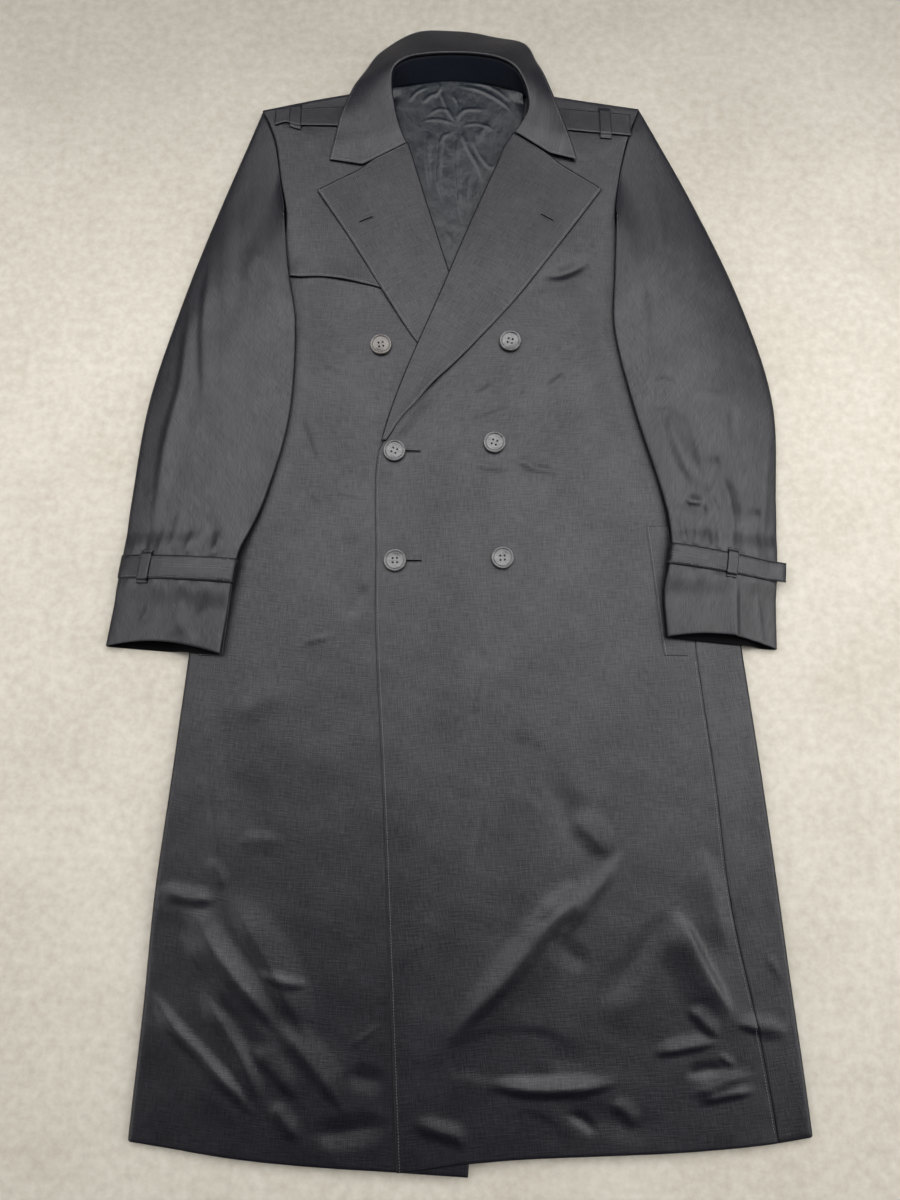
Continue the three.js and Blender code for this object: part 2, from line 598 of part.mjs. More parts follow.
// One ring of a sleeve at a station between its armhole, 0, and its cuff
function sleeveRing(sleeve, at) {
  const s = station(sleeve.table, at);
  const outer = point(s.ox, s.oy, 0);
  const inner = point(s.ix, s.iy, 0);
  const width = outer.distanceTo(inner);
  const [first, joined] = [sleeve.table[0], sleeve.table[3]];
  const crossing = (row) => {
    const side = bodySides(0.5 * (row.oy + row.iy))[sleeve.side];
    return (row.ix - side) / (row.ix - row.ox);
  };
  const cross = crossing(at < 3 ? joined : s);
  const near = 1 - ease(0, 1.5, at);
  const w = clamp01(at / 3);
  const ramp = RAMP / width;
  const lift = STRAP_ROOM * ease(STRAP_AT - 0.8, STRAP_AT - 0.35, at)
    * (1 - ease(STRAP_AT + 0.35, STRAP_AT + 0.8, at));
  const innerFloor = sleeve.support(s.ix, s.iy) + 2 * LAY;
  const middle = (t) => mix(EDGE_R, innerFloor + EDGE_R, t);
  const round = (t) => (1 - Math.abs(2 * t - 1) ** 4) ** 0.25;

  const overs = SLEEVE_STEPS.map((t) => {
    const p = outer.clone().lerp(inner, t);
    const y0 = mix(first.oy, first.iy, t);
    const seamX = read(ARMHOLES, "y", sleeve.front, y0) + sleeve.sign * 3 * SEAM;
    p.x += (seamX - mix(first.ox, first.ix, t)) * near;
    const lip = CUFF_LIP * Math.sin(Math.PI * t) * ease(6.5, 7, at);
    p.y += lip;
    const full = mix(2 * EDGE_R, innerFloor + 2 * EDGE_R, t) + SLEEVE_CROWN * Math.sin(Math.PI * t);
    const sewn = plainTop(p.x, p.y) + (innerFloor + 2 * EDGE_R - SIDE_H - CROWN) * ease(0.5, 1, t);
    const folds = sleeveFolds(sleeve.folds, at, t);
    const high = mix(sewn, full + folds, ease(0, 1.3, at)) + lift;
    p.z = middle(t) + lift + (high - middle(t) - lift) * round(t);
    return p;
  });

  const b = [0.012, 0.05, 0.35 * cross, 0.7 * cross, cross, cross + 0.5 * ramp, cross + ramp];
  const rest = 1 - cross - ramp;
  b.push(1 - 0.66 * rest, 1 - 0.33 * rest, 0.95, 0.988);
  const unders = b.map((t) => {
    const line = point(mix(joined.ix, joined.ox, t), mix(joined.iy, joined.oy, t), 0);
    const sewn = armholeUnder(sleeve, t, cross);
    const p = w < 1 ? sewn.lerp(line, w) : inner.clone().lerp(outer, t);
    if (w < 1) {
      const bend = (end) => point(
        s[`${end}x`] - mix(first[`${end}x`], joined[`${end}x`], w),
        s[`${end}y`] - mix(first[`${end}y`], joined[`${end}y`], w),
        0,
      );
      p.addScaledVector(bend("i"), 1 - t).addScaledVector(bend("o"), t);
    }
    const outside = ease(0, 1, (t - cross - 2 / width) / ramp);
    const floor = (sleeve.support(p.x, p.y) + 2 * LAY) * (1 - outside) + lift;
    const mid = middle(1 - t) + lift;
    p.z = mid - (mid - floor) * round(t);
    return p;
  });
  return [...overs, ...unders];
}

// The hidden part of the armhole: down the front from the inner fold to the armpit, then up
// the back to the shoulder tip
function armholeUnder(sleeve, t, cross) {
  const first = sleeve.table[0];
  const down = t < cross;
  const s = down ? Math.sin(0.5 * Math.PI * t / cross) : (t - cross) / (1 - cross);
  const y = down ? mix(first.iy, ARMPIT_Y, s) : mix(ARMPIT_Y, first.oy, s);
  const x = read(ARMHOLES, "y", down ? sleeve.front : sleeve.back, y);
  return point(x + sleeve.sign * 3 * SEAM, y - (down ? 0 : 2 * SEAM * (1 - s)), 0);
}

function sleeveFolds(folds, at, t) {
  let sum = 0;
  for (const f of folds) {
    const [u, v] = [t * SLEEVE_W, at * STATION];
    const [u0, v0] = [f.t0 * SLEEVE_W, f.at0 * STATION];
    const [du, dv] = [f.t1 * SLEEVE_W - u0, f.at1 * STATION - v0];
    const length = Math.hypot(du, dv);
    const s = ((u - u0) * du + (v - v0) * dv) / length;
    const off = ((u - u0) * dv - (v - v0) * du) / length;
    const ends = ease(-8, 0.3 * length, s) * ease(-8, 0.3 * length, length - s);
    sum += f.h * Math.exp(-((off / f.w) ** 2)) * ends;
  }
  return sum;
}

// How far a pocket welt, whose middle is at `at`, lifts the sleeve that lies over it
const weltLift = (at, x, y) => (LAY + TRIM) * ease(505, 520, y) * (1 - ease(695, 710, y))
  * (1 - ease(25, 40, Math.abs(x - at)));
const SLEEVES = {
  right: {
    table: SLEEVE_RIGHT,
    side: "right",
    front: "frontR",
    back: "backR",
    sign: -1,
    folds: SLEEVE_FOLDS_RIGHT,
    support: (x, y) => onRight(x, y) + weltLift(-262, x, y),
    strapOuter: 5.34,
    strapInner: 5.34,
    loopAt: 0.23,
  },
  left: {
    table: SLEEVE_LEFT,
    side: "left",
    front: "frontL",
    back: "backL",
    sign: 1,
    folds: SLEEVE_FOLDS_LEFT,
    support: (x, y) => onLeft(x, y) + weltLift(250, x, y),
    strapOuter: 5.44,
    strapInner: 5.2,
    loopAt: 0.44,
    freeEnd: [{ run: 8, fall: 0.8, rise: 0.5 }, { run: 17, fall: 2, rise: -0.5 }],
  },
};

const sleeveTube = (sleeve) => cloth(SLEEVE_ROWS.map((at) => sleeveRing(sleeve, at)), CLOTH,
  { tube: true });

// Rows of points round a sleeve under its strap, across the strap's width
function strapRows(sleeve, count) {
  const ringPoints = sleeveRing(sleeve, STRAP_AT).length;
  const overs = SLEEVE_STEPS.length;
  return steps(count).map((v) => Array.from({ length: ringPoints }, (_, j) => {
    const inwards = j < overs ? SLEEVE_STEPS[j] : 1 - (j - overs + 1) / (ringPoints - overs + 1);
    const middle = mix(sleeve.strapOuter, sleeve.strapInner, inwards);
    return sleeveRing(sleeve, middle + (v - 0.5) * STRAP_SPAN)[j];
  }));
}

function cuffStrap(sleeve) {
  const rows = strapRows(sleeve, 3);
  const normals = normalsOf(rows, 1, true);
  const outside = moved(rows, normals, LAY + TRIM);
  const inside = moved(rows, normals, LAY);
  if (!sleeve.freeEnd) return wall(outside, inside, true);
  // The open strap runs from under the outer fold round the sleeve and out past it on top
  const order = [...SLEEVE_STEPS.keys()].reverse();
  const under = Array.from({ length: rows[0].length - order.length - 3 }, (_, k) => (
    order.length + k)).reverse();
  const path = [...under, ...order.slice(0, -2)];
  const pick = (grid) => grid.map((row, i) => {
    const list = path.map((j) => row[j].clone());
    const tip = list.at(-1);
    sleeve.freeEnd.forEach((step) => {
      list.push(point(tip.x + step.run, tip.y - step.fall, tip.z + step.rise));
    });
    return list;
  });
  return wall(pick(outside), pick(inside), false);
}

// A loop of cloth over a strap: it bridges the strap and comes down on both sides of it
function bridge(surface, cover) {
  const rows = LOOP_PROFILE.map(({ v, over }) => steps(3).map((t) => {
    const p = surface(v, t);
    return p.setZ(p.z + LAY + LOOP_WALL + over * cover);
  }));
  return cloth(rows, LOOP_WALL);
}

function sleeveLoop(sleeve) {
  const surface = (v, t) => {
    const inwards = sleeve.loopAt + (t - 0.5) * LOOP_W / SLEEVE_W;
    const at = mix(sleeve.strapOuter, sleeve.strapInner, inwards) + v * 0.5 * LOOP_L / CUFF_STATION;
    const ring = sleeveRing(sleeve, at);
    const k = SLEEVE_STEPS.findIndex((step) => step > inwards);
    const part = (inwards - SLEEVE_STEPS[k - 1]) / (SLEEVE_STEPS[k] - SLEEVE_STEPS[k - 1]);
    return ring[k - 1].clone().lerp(ring[k], part);
  };
  return bridge(surface, LAY + TRIM);
}

const EPAULETTES = {
  right: {
    outer: -222, inner: -112, lowOuter: 1209, highOuter: 1232, lowInner: 1205, highInner: 1236,
    arch: 4, loopX: -196, loopReach: 1.5, top: onRight,
  },
  left: {
    outer: 229, inner: 112, lowOuter: 1194, highOuter: 1226, lowInner: 1205, highInner: 1237,
    arch: 0, loopX: 197, loopReach: 1.45, top: onLeft,
  },
};

// An epaulette lies on the shoulder from the armhole to under the collar
const epauletteY = (e, x, t) => {
  const s = (x - e.outer) / (e.inner - e.outer);
  const arch = e.arch * ease(0, 0.12, s) * (1 - ease(0.12, 0.3, s));
  return mix(mix(e.lowOuter, e.lowInner, s) + arch, mix(e.highOuter, e.highInner, s), t);
};

function epaulette(e) {
  const rows = steps(3).map((t) => steps(10).map((s) => {
    const x = mix(e.outer, e.inner, s);
    const y = epauletteY(e, x, t);
    return point(x, y, e.top(x, y) + LAY + TRIM);
  }));
  return cloth(rows, TRIM);
}

function epauletteLoop(e) {
  const surface = (v, t) => {
    const x = e.loopX + (t - 0.5) * LOOP_W;
    const y = epauletteY(e, x, 0.5 + 0.5 * v * e.loopReach);
    return point(x, y, e.top(x, y));
  };
  return bridge(surface, LAY + TRIM);
}

function pocketWelt(w, top) {
  const rows = steps(8).map((v) => steps(2).map((t) => {
    const y = mix(w.lowY, w.highY, v);
    const x = mix(w.lowX, w.highX, v) + w.outwards * WELT_W * t;
    return point(x, y, top(x, y) + LAY + TRIM);
  }));
  return cloth(rows, TRIM);
}

// Booleans
const manifold = await Module();
manifold.setup();

function toManifold(geometry) {
  const bare = geometry.clone();
  bare.deleteAttribute("normal");
  bare.deleteAttribute("uv");
  const merged = mergeVertices(bare);
  return new manifold.Manifold(new manifold.Mesh({
    numProp: 3,
    vertProperties: new Float32Array(merged.attributes.position.array),
    triVerts: new Uint32Array(merged.index.array),
  }));
}

function fromManifold(body) {
  const mesh = body.getMesh();
  const geometry = new THREE.BufferGeometry();
  geometry.setAttribute("position", new THREE.Float32BufferAttribute(mesh.vertProperties, 3));
  geometry.setIndex([...mesh.triVerts]);
  return geometry;
}

// Four-hole button with a raised rim and a dished face
function buttonGeometry() {
  const r = BUTTON_D / 2;
  const profile = [
    [0, 0], [0.84 * r, 0], [r, 1.3], [r, 3], [0.93 * r, BUTTON_H], [0.8 * r, 3.9],
    [0.66 * r, 2.9], [0, 2.6],
  ].map(([x, z]) => new THREE.Vector2(x, z));
  const disc = new THREE.LatheGeometry(profile, 16).rotateX(Math.PI / 2);
  let body = toManifold(disc);
  for (const [sx, sy] of [[-1, -1], [-1, 1], [1, -1], [1, 1]]) {
    const drill = new THREE.CylinderGeometry(1.2, 1.2, 3 * BUTTON_H, 6).rotateX(Math.PI / 2);
    drill.translate(sx * BUTTON_HOLE_AT, sy * BUTTON_HOLE_AT, 0);
    body = body.subtract(toManifold(drill));
  }
  return fromManifold(body);
}

// The pieces, from the bottom layer up
add("back", backPanel(), GREY);
add("lining_back", backLining(), LINING, 0.4);
add("front_right", frontPanel(rightOuter, EDGE_RIGHT, rightTop, 1, 1, HEM_RIGHT), GREY);
add("storm_flap", stormFlap(), GREY);
add("lapel_right", lapel(EDGE_RIGHT, LAPEL_RIGHT, BREAK_Y + 9, 1114, 1178, onRight), GREY);
add("front_left", frontPanel(leftOuter, EDGE_LEFT, leftTop, -1, 0, HEM), GREY);
add("lapel_left", lapel(EDGE_LEFT, LAPEL_LEFT, BREAK_Y + 5, 1117, 1194, onLeft), GREY);
add("collar_stand", collarStand(), GREY_DARK);
add("collar_fall", collarFall(), GREY);
add("pocket_welt_right", pocketWelt(WELT_RIGHT, plainTop), GREY);
add("pocket_welt_left", pocketWelt(WELT_LEFT, leftTop), GREY);
for (const [name, sleeve] of Object.entries(SLEEVES)) {
  add(`sleeve_${name}`, sleeveTube(sleeve), GREY);
  add(`cuff_strap_${name}`, cuffStrap(sleeve), GREY);
  add(`cuff_loop_${name}`, sleeveLoop(sleeve), GREY);
}
for (const [name, e] of Object.entries(EPAULETTES)) {
  add(`epaulette_${name}`, epaulette(e), GREY);
  add(`epaulette_loop_${name}`, epauletteLoop(e), GREY);
}
for (const b of BUTTONS) {
  const top = b.x < -70 && b.y > 850 ? rightTop : leftTop;
  const rim = steps(12).map((t) => {
    const a = 2 * Math.PI * t;
    return top(b.x + 0.45 * BUTTON_D * Math.cos(a), b.y + 0.45 * BUTTON_D * Math.sin(a));
  });
  const seat = Math.max(top(b.x, b.y), ...rim) + LAY;
  add(b.name, buttonGeometry().translate(b.x, b.y, seat), HORN, 0.35);
}

// The origin is on the floor, in the middle of the coat's box
const box = new THREE.Box3().setFromObject(coat);
const middle = box.getCenter(point(0, 0, 0));
for (const mesh of coat.children) {
  mesh.geometry.translate(-middle.x, -middle.y, -box.min.z);
}

export default coat;
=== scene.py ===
import functools
import math

import bpy
import numpy as np
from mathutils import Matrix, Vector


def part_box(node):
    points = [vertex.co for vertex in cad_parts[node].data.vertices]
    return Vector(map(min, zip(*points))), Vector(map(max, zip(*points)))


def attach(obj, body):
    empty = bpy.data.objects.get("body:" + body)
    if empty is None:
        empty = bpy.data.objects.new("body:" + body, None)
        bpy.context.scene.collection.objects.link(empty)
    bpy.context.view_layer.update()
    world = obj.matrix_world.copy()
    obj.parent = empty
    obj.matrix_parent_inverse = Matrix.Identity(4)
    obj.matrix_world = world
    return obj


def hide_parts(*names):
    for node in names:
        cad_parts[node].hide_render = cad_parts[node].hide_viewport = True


# A long double-breasted coat of charcoal cotton, laid on its back on a pale floor. Shapes are
# worked out in millimetres on the coat's own plan, with X to the wearer's left, Y towards the
# collar and Z up; `to_frame` turns them into metres in the part's frame.
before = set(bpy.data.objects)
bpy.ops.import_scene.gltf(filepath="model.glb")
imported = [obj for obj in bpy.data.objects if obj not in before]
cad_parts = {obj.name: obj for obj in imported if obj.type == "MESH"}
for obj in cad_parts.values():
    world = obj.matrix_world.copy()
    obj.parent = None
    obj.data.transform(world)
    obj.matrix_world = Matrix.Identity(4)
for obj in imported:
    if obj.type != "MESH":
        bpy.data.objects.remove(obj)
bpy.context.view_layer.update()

CLOTH = 1.6            # wall of one layer of coat cloth
FACED = 1.8            # wall of a faced piece, such as a lapel
TRIM = 1.5             # wall of straps, loops and welts
SEAM = 0.3             # gap left at a seam
LAY = 0.6              # gap left under a piece that lies on another
EDGE_R = 5             # radius of the soft fold along the coat's sides and shoulders
SIDE_H = 2 * EDGE_R    # height of the coat at its side folds
CROWN = 4              # how much higher the coat is in the middle
ROLL_R = 2.4           # radius of the rolled edge of lapels and collar
BUTTON_D = 26
ARMPIT_Y = 915
BREAK_Y = 785          # where the lapels start, at the second row of buttons
RAMP = 24              # run in which a sleeve steps down from the body to the floor
SHOULDER_Y = 1236
SHOULDER_X = (-240, 242)
WARP_FROM_Y = 980
HEM_Y = 4
NECK_X = 5
LINING_LOW_Y = 920
LINING_WALL = 1
ROLL_SET_BACK = 3.4    # how far a front's edge stays inside the roll of its lapel
NOTCH_AT = 0.56        # where the collar's end dips most, as a share of its depth
LAPEL_TUCK = 5         # how far the lapels' upper ends reach under the collar
STATION = 105          # usual length between two stations of a sleeve
CUFF_STATION = 57      # and between the two at the strap
SLEEVE_W = 150
SLEEVE_CROWN = 5
CUFF_LIP = 9           # how much lower the cuff's edge hangs in its middle
STRAP_AT = 5.34
STRAP_SPAN = 0.46      # the strap's width, as a share of its station
STRAP_ROOM = 3         # how much the sleeve is held off the body under the strap
LOOP_W = 14
LOOP_L = 38
LOOP_WALL = 1.2
WELT_W = 27
WELT_Y = (532, 683)
WELT_STANDS = 0.5      # how much a pressed pocket welt stands above its front
WELT_WALL = 0.4
BUTTON_HOLE_AT = 2.5   # how far the four holes lie off the button's axes
BUTTON_HOLE_R = 1.2
STITCH_L = 2.3
STITCH_W = 0.8
STITCH_H = 0.5
STITCH_PITCH = 3
HOLE_L = 20            # length of a buttonhole
HOLE_LIFT = 0.1
CAMERA_Y = 400         # the camera's place on the plan and its height, from the photo's perspective
CAMERA_HEIGHT = 1020.7
CAMERA_TILT = 11
CAMERA_LENS = 27.03
GRID = 3.2             # spacing of the points on the large panels
FINE = 2.5             # and on the lapels and the collar
CREST_ROUND = 0.06     # rounding of a crease's crest and foot, as shares of its reach
FOOT_ROUND = 0.1
FOLD_SHARE = 0.35      # share of the solids' large folds; the crisp creases do the rest
FOLD_MARGIN = 10       # how far a large fold runs on past its line's ends
FOLD_RUN_IN = 0.25     # share of that line in which the fold rises
RIM = 0.8              # how far in from a cut edge the cloth starts to round over


def table(columns, *rows):
    """A table with named columns, as arrays."""
    return {name: np.array(column, float) for name, column in zip(columns.split(), zip(*rows))}


SIDES = table(
    "y right left seam",
    (4, -331, 373, 336), (143, -324, 364, 320), (269, -319, 355, 300), (395, -308, 345, 291),
    (534, -296, 332, 278), (700, -282, 317, 268), (860, -271, 304, 282), (905, -268, 301, 292))
ARMHOLES = table(
    "y front_right back_right front_left back_left",
    (915, -268, -268, 287, 301), (930, -243, -263, 262, 295), (955, -224, -259, 231, 288),
    (1000, -209, -253, 211, 277), (1074, -204, -247, 205, 262), (1128, -212, -244, 211, 253),
    (1188, -222, -241, 225, 246), (1236, -240, -240, 242, 242))
SHOULDERS = table(
    "x y",
    (-240, 1236), (-170, 1252), (-95, 1266), (8, 1281), (96, 1263), (170, 1250), (242, 1238))
EDGE_RIGHT = table(
    "y x",
    (4, 18), (373, 46), (640, 70), (785, 66), (1006, -1), (1076, -22), (1178, -53), (1215, -72),
    (1266, -95))
EDGE_LEFT = table(
    "y x",
    (4, -54), (373, -73), (560, -84), (643, -85), (785, -81), (1004, -1), (1171, 66), (1194, 80),
    (1215, 88), (1263, 96))
LAPEL_RIGHT = table("y x", (785, 62), (850, 14), (908, -37), (969, -76), (1040, -118), (1114, -165))
LAPEL_LEFT = table(
    "y x",
    (778, -80), (790, -72), (813, -57), (832, -40), (857, -20), (882, 5), (911, 32), (969, 82),
    (1040, 134), (1117, 189))
# Neck seam, roll line and outer edge of the collar, from one collar point to the other
COLLAR = table(
    "nx ny nz x y z ex ey ez dip",
    (-57, 1182, 16, -54, 1180, 21, -151, 1157, 20, 17),
    (-72, 1204, 16, -63, 1202, 23, -145, 1187, 21, 5),
    (-81, 1230, 15, -69, 1228, 25, -136, 1226, 22, 0),
    (-84, 1254, 11, -73, 1256, 28, -124, 1261, 17, 0),
    (-76, 1270, 6, -70, 1281, 30, -110, 1291, 10, 0),
    (-52, 1276, 3, -52, 1294, 31, -89, 1325, 6, 0),
    (-22, 1280, 3, -22, 1299, 31, -46, 1355, 4, 0),
    (8, 1281, 3, 8, 1300, 31, 8, 1357, 4, 0),
    (38, 1279, 3, 38, 1298, 31, 56, 1349, 4, 0),
    (62, 1275, 3, 64, 1292, 31, 97, 1337, 6, 0),
    (88, 1264, 6, 83, 1280, 30, 113, 1304, 10, 0),
    (103, 1247, 13, 95, 1256, 28, 124, 1273, 17, 0),
    (108, 1228, 15, 99, 1230, 25, 134, 1238, 22, 0),
    (98, 1208, 16, 91, 1210, 23, 148, 1196, 21, 5),
    (84, 1197, 16, 81, 1196, 21, 159, 1157, 20, 8))
COLLAR_LAST = 14
# Outer and inner fold of each flat sleeve at stations from the armhole to the cuff
SLEEVE_RIGHT = table(
    "ox oy ix iy",
    (-242.5, 1234.5, -205, 1074), (-285, 1105, -196, 1003), (-327, 969, -185, 929),
    (-360, 839, -189, 814), (-373, 715, -214, 715), (-377, 655, -241, 648),
    (-384, 598, -250, 588), (-391, 544, -257, 533))
SLEEVE_LEFT = table(
    "ox oy ix iy",
    (243, 1237, 206, 1070), (303, 1105, 200, 1000), (355, 969, 197, 925), (386, 839, 217, 825),
    (382, 715, 247, 715), (378, 650, 252, 658), (374, 600, 242, 606), (371, 540, 243, 552))
# Large folds of the fronts: a line, its half width and how far it stands up or sinks
FOLDS = table(
    "x0 y0 x1 y1 w h",
    (-292, 262, -150, 75, 15, 5), (-252, 262, -178, 120, 14, -3), (-262, 205, -172, 60, 13, -2.5),
    (-330, 150, -214, 30, 16, 4), (-318, 262, -246, 250, 13, 3.5), (-235, 420, -190, 300, 20, -2.5),
    (184, 308, -20, 100, 17, 6), (170, 340, 120, 215, 18, -3), (60, 440, 160, 300, 20, -2.5),
    (244, 252, 300, 120, 18, 4.5), (244, 252, 168, 140, 16, 4), (90, 60, 210, 24, 14, -3),
    (-185, 845, -142, 752, 16, -3), (98, 990, 185, 1010, 16, -3))
# How far the hem rises over the coat's width; the wearer's right front hangs lower at its corner
HEM = table(
    "x y", (-331, 28), (-193, 10), (-54, 1), (18, 9), (91, 14), (194, 17), (276, 21.5), (332, 26),
    (373, 32))
HEM_RIGHT = table("x y", (-331, 28), (-193, 10), (-54, 0.5), (18, -4))
FLAP_EDGE = table("x y", (-212, 1000), (-150, 997), (-95, 986), (-66, 976))
SLEEVE_FOLDS_RIGHT = table(
    "at0 t0 at1 t1 w h",
    (0.6, 0.5, 2.4, 0.42, 16, -2.5), (1.5, 0.14, 4.6, 0.2, 12, 3), (4.2, 0.75, 5, 0.55, 10, 2.5),
    (5.8, 0.55, 6.9, 0.6, 12, 2.5))
SLEEVE_FOLDS_LEFT = table(
    "at0 t0 at1 t1 w h",
    (0.2, 0.75, 1.8, 0.82, 12, 3), (3, 0.95, 3.9, 0.6, 11, 3), (3.7, 0.4, 4.9, 0.62, 10, 3),
    (5.7, 0.36, 7.2, 0.36, 11, 4), (5.7, 0.12, 7.2, 0.12, 22, -3))
LOOP_PROFILE = table(
    "v over", (-1, 0), (-0.84, 0.15), (-0.74, 1), (0, 1.1), (0.74, 1), (0.84, 0.15), (1, 0))
# Half section of a button from its axis: shares of its radius, and heights
BUTTON_PROFILE = (
    (0, 0), (0.84, 0), (0.93, 0.4), (0.985, 1.2), (1, 2.2), (0.99, 3.2), (0.96, 3.9), (0.92, 4.2),
    (0.87, 4.15), (0.83, 3.8), (0.815, 2.7), (0.80, 2.55), (0.76, 2.55), (0.745, 2.7), (0.73, 3.25),
    (0.70, 3.3), (0.62, 2.95), (0.45, 2.7), (0, 2.6))
BUTTONS = (
    # name, x, y, turn of its holes in degrees
    ("button_right_1", -83, 908, 10),
    ("button_left_1", 72, 910, -14),
    ("button_right_2", -65, 772, -24),
    ("button_left_2", 52, 782, -20),
    ("button_right_3", -63, 641, 2),
    ("button_left_3", 60, 644, 4),
)
# Creases: the line along the crest or the bottom, how far the slope on the left of the line's run
# reaches, height, and the other slope's reach as a share of the first
BODY_CREASES = (
    # fan of ridges at the wearer's right hem
    (((-245, 278), (-221, 245), (-203, 217), (-189, 197), (-173, 167), (-142, 123)), 30, 3.4, 0.32),
    (((-289, 270), (-263, 235), (-249, 215), (-218, 179), (-192, 150), (-171, 123)), 22, 3.6, 0.45),
    (((-289, 239), (-274, 219), (-256, 197), (-242, 176), (-221, 144)), 14, 2.6, 0.6),
    (((-187, 146), (-156, 114), (-131, 85), (-106, 54)), 24, 2.8, 0.35),
    (((-261, 186), (-253, 161), (-235, 133), (-219, 108), (-203, 74), (-194, 47)), 16, 3.2, 0.6),
    (((-327, 180), (-308, 160), (-289, 133), (-263, 108), (-238, 83), (-218, 65), (-192, 40)),
     12, 3.4, 0.8),
    (((-210, 123), (-185, 96), (-156, 64)), 16, 2.6, 0.45),
    (((-316, 281), (-285, 271), (-247, 268)), 14, 3, 0.6),
    (((-205, 196), (-176, 186), (-147, 182)), 8, 1.6, 0.8),
    (((-71, 146), (-88, 133), (-109, 118)), 4, 0.8, 0.8),
    (((-188, 63), (-168, 41), (-153, 25)), 14, 2.2, 0.6),
    (((-107, 94), (-82, 90), (-65, 92)), 14, -1.6, 1),
    (((-144, 32), (-96, 41), (-60, 49)), 16, -2.4, 1),
    (((-262, 313), (-248, 291), (-242, 278)), 10, 1.4, 0.7),
    (((-178, 330), (-214, 332), (-234, 325)), 16, 1, 0.6),
    (((-27, 235), (-42, 216), (-54, 197)), 5, 0.7, 0.7),
    (((-277, 498), (-262, 380), (-243, 276)), 18, 1.4, 0.5),
    # long ridge and tent at the wearer's left hem
    (((169, 297), (134, 267), (103, 242), (74, 208), (45, 175), (17, 146), (-5, 118)),
     12, 4.6, 1.8),
    (((188, 322), (172, 297), (150, 270), (134, 247), (122, 228)), 7, 3.2, 1.4),
    (((135, 290), (111, 267), (93, 247)), 8, 1.5, 1.2),
    (((103, 233), (123, 218), (148, 199)), 16, -1.6, 1),
    (((235, 262), (250, 240), (268, 201), (284, 170), (299, 143)), 8, 4.4, 4.5),
    (((235, 260), (202, 216), (178, 187), (157, 160)), 30, -1.8, 0.5),
    (((267, 327), (278, 290), (286, 247), (297, 208)), 16, 2.4, 1.6),
    (((296, 140), (322, 131), (357, 124)), 16, 2.4, 0.4),
    (((248, 160), (264, 140), (281, 120)), 14, 2.6, 0.5),
    (((208, 106), (241, 111), (281, 118)), 14, 2.4, 0.4),
    (((278, 105), (287, 95), (296, 88)), 6, 1.6, 0.6),
    (((332, 214), (347, 195), (362, 176)), 5, 1.6, 0.7),
    (((338, 285), (349, 267), (356, 247)), 12, 1.2, 0.7),
    (((37, 366), (29, 330), (23, 297)), 6, -0.6, 1),
    (((126, 358), (157, 332), (177, 312)), 22, 2.2, 0.7),
    (((59, 451), (110, 380), (160, 313)), 24, -1.4, 0.8),
    # waves along the wearer's left hem
    (((35, 79), (89, 71), (137, 71), (179, 78)), 16, 3.8, 0.5),
    (((-10, 93), (27, 106), (90, 106), (145, 97)), 30, -2.6, 0.8),
    (((242, 81), (264, 87), (284, 86)), 10, -1.8, 0.8),
    (((245, 58), (284, 72), (316, 78)), 14, 2, 0.6),
    (((253, 51), (283, 57), (318, 60)), 12, 2.4, 0.35),
    (((119, 47), (138, 36), (150, 22)), 8, -2, 0.7),
    (((-40, 52), (-13, 39), (5, 31), (17, 15)), 12, 2.4, 0.7),
    (((164, 58), (183, 42), (187, 27)), 12, 1.8, 0.7),
    (((60, 44), (90, 34), (118, 16)), 12, -1.5, 0.8),
    # chest and waist
    (((-191, 840), (-169, 808), (-153, 769), (-137, 755)), 12, 2, 0.35),
    (((-151, 881), (-130, 862)), 6, 0.9, 0.6),
    (((-183, 727), (-164, 733), (-146, 732)), 6, 1.0, 0.7),
    (((-166, 731), (-150, 709)), 6, 1.1, 0.6),
    (((-137, 726), (-105, 719)), 6, 0.9, 0.7),
    (((-131, 668), (-105, 655)), 14, -1.1, 0.8),
    (((-124, 573), (-90, 614)), 16, -1.2, 0.8),
    (((-168, 545), (-130, 556)), 6, 0.9, 0.6),
    (((-241, 460), (-172, 507)), 24, 1.0, 0.8),
    (((137, 872), (127, 861), (113, 849)), 9, 1.7, 0.5),
    (((198, 877), (182, 872), (170, 866)), 10, 1.1, 0.5),
    (((186, 853), (169, 847)), 6, 1.1, 0.5),
    (((51, 856), (39, 846), (28, 838)), 8, 1.0, 0.6),
    (((88, 867), (84, 853), (81, 838)), 8, -0.8, 0.8),
    (((71, 827), (55, 819), (35, 811), (6, 807)), 9, 1, 0.6),
    (((187, 819), (155, 809), (125, 788)), 26, 1.2, 0.8),
    (((25, 759), (43, 753), (62, 752), (74, 759)), 7, 1.3, 0.6),
    (((72, 765), (85, 758), (99, 751), (112, 749), (132, 745)), 7, 1.7, 0.6),
    (((99, 772), (89, 763), (85, 757)), 5, 1.0, 0.7),
    (((159, 761), (156, 745), (155, 729)), 7, -0.9, 0.8),
    (((180, 755), (175, 735), (173, 713)), 8, 0.9, 0.7),
    (((184, 734), (203, 728), (237, 725)), 9, -1.7, 0.8),
    (((237, 717), (220, 719), (206, 717)), 20, -1.6, 0.8),
    (((107, 997), (128, 1000), (150, 1008), (168, 1018), (185, 1034), (200, 1060)), 10, -3.6, 0.8),
    (((98, 987), (117, 978)), 8, -1.2, 0.8),
    (((150, 1174), (177, 1170), (202, 1174)), 14, 0.9, 0.6),
    (((157, 1084), (167, 1060), (173, 1031)), 18, 1.2, 0.7),
    (((-196, 1090), (-186, 1130), (-180, 1170)), 14, -1.4, 0.8),
    (((40, 510), (28, 459)), 5, 0.7, 0.7),
)
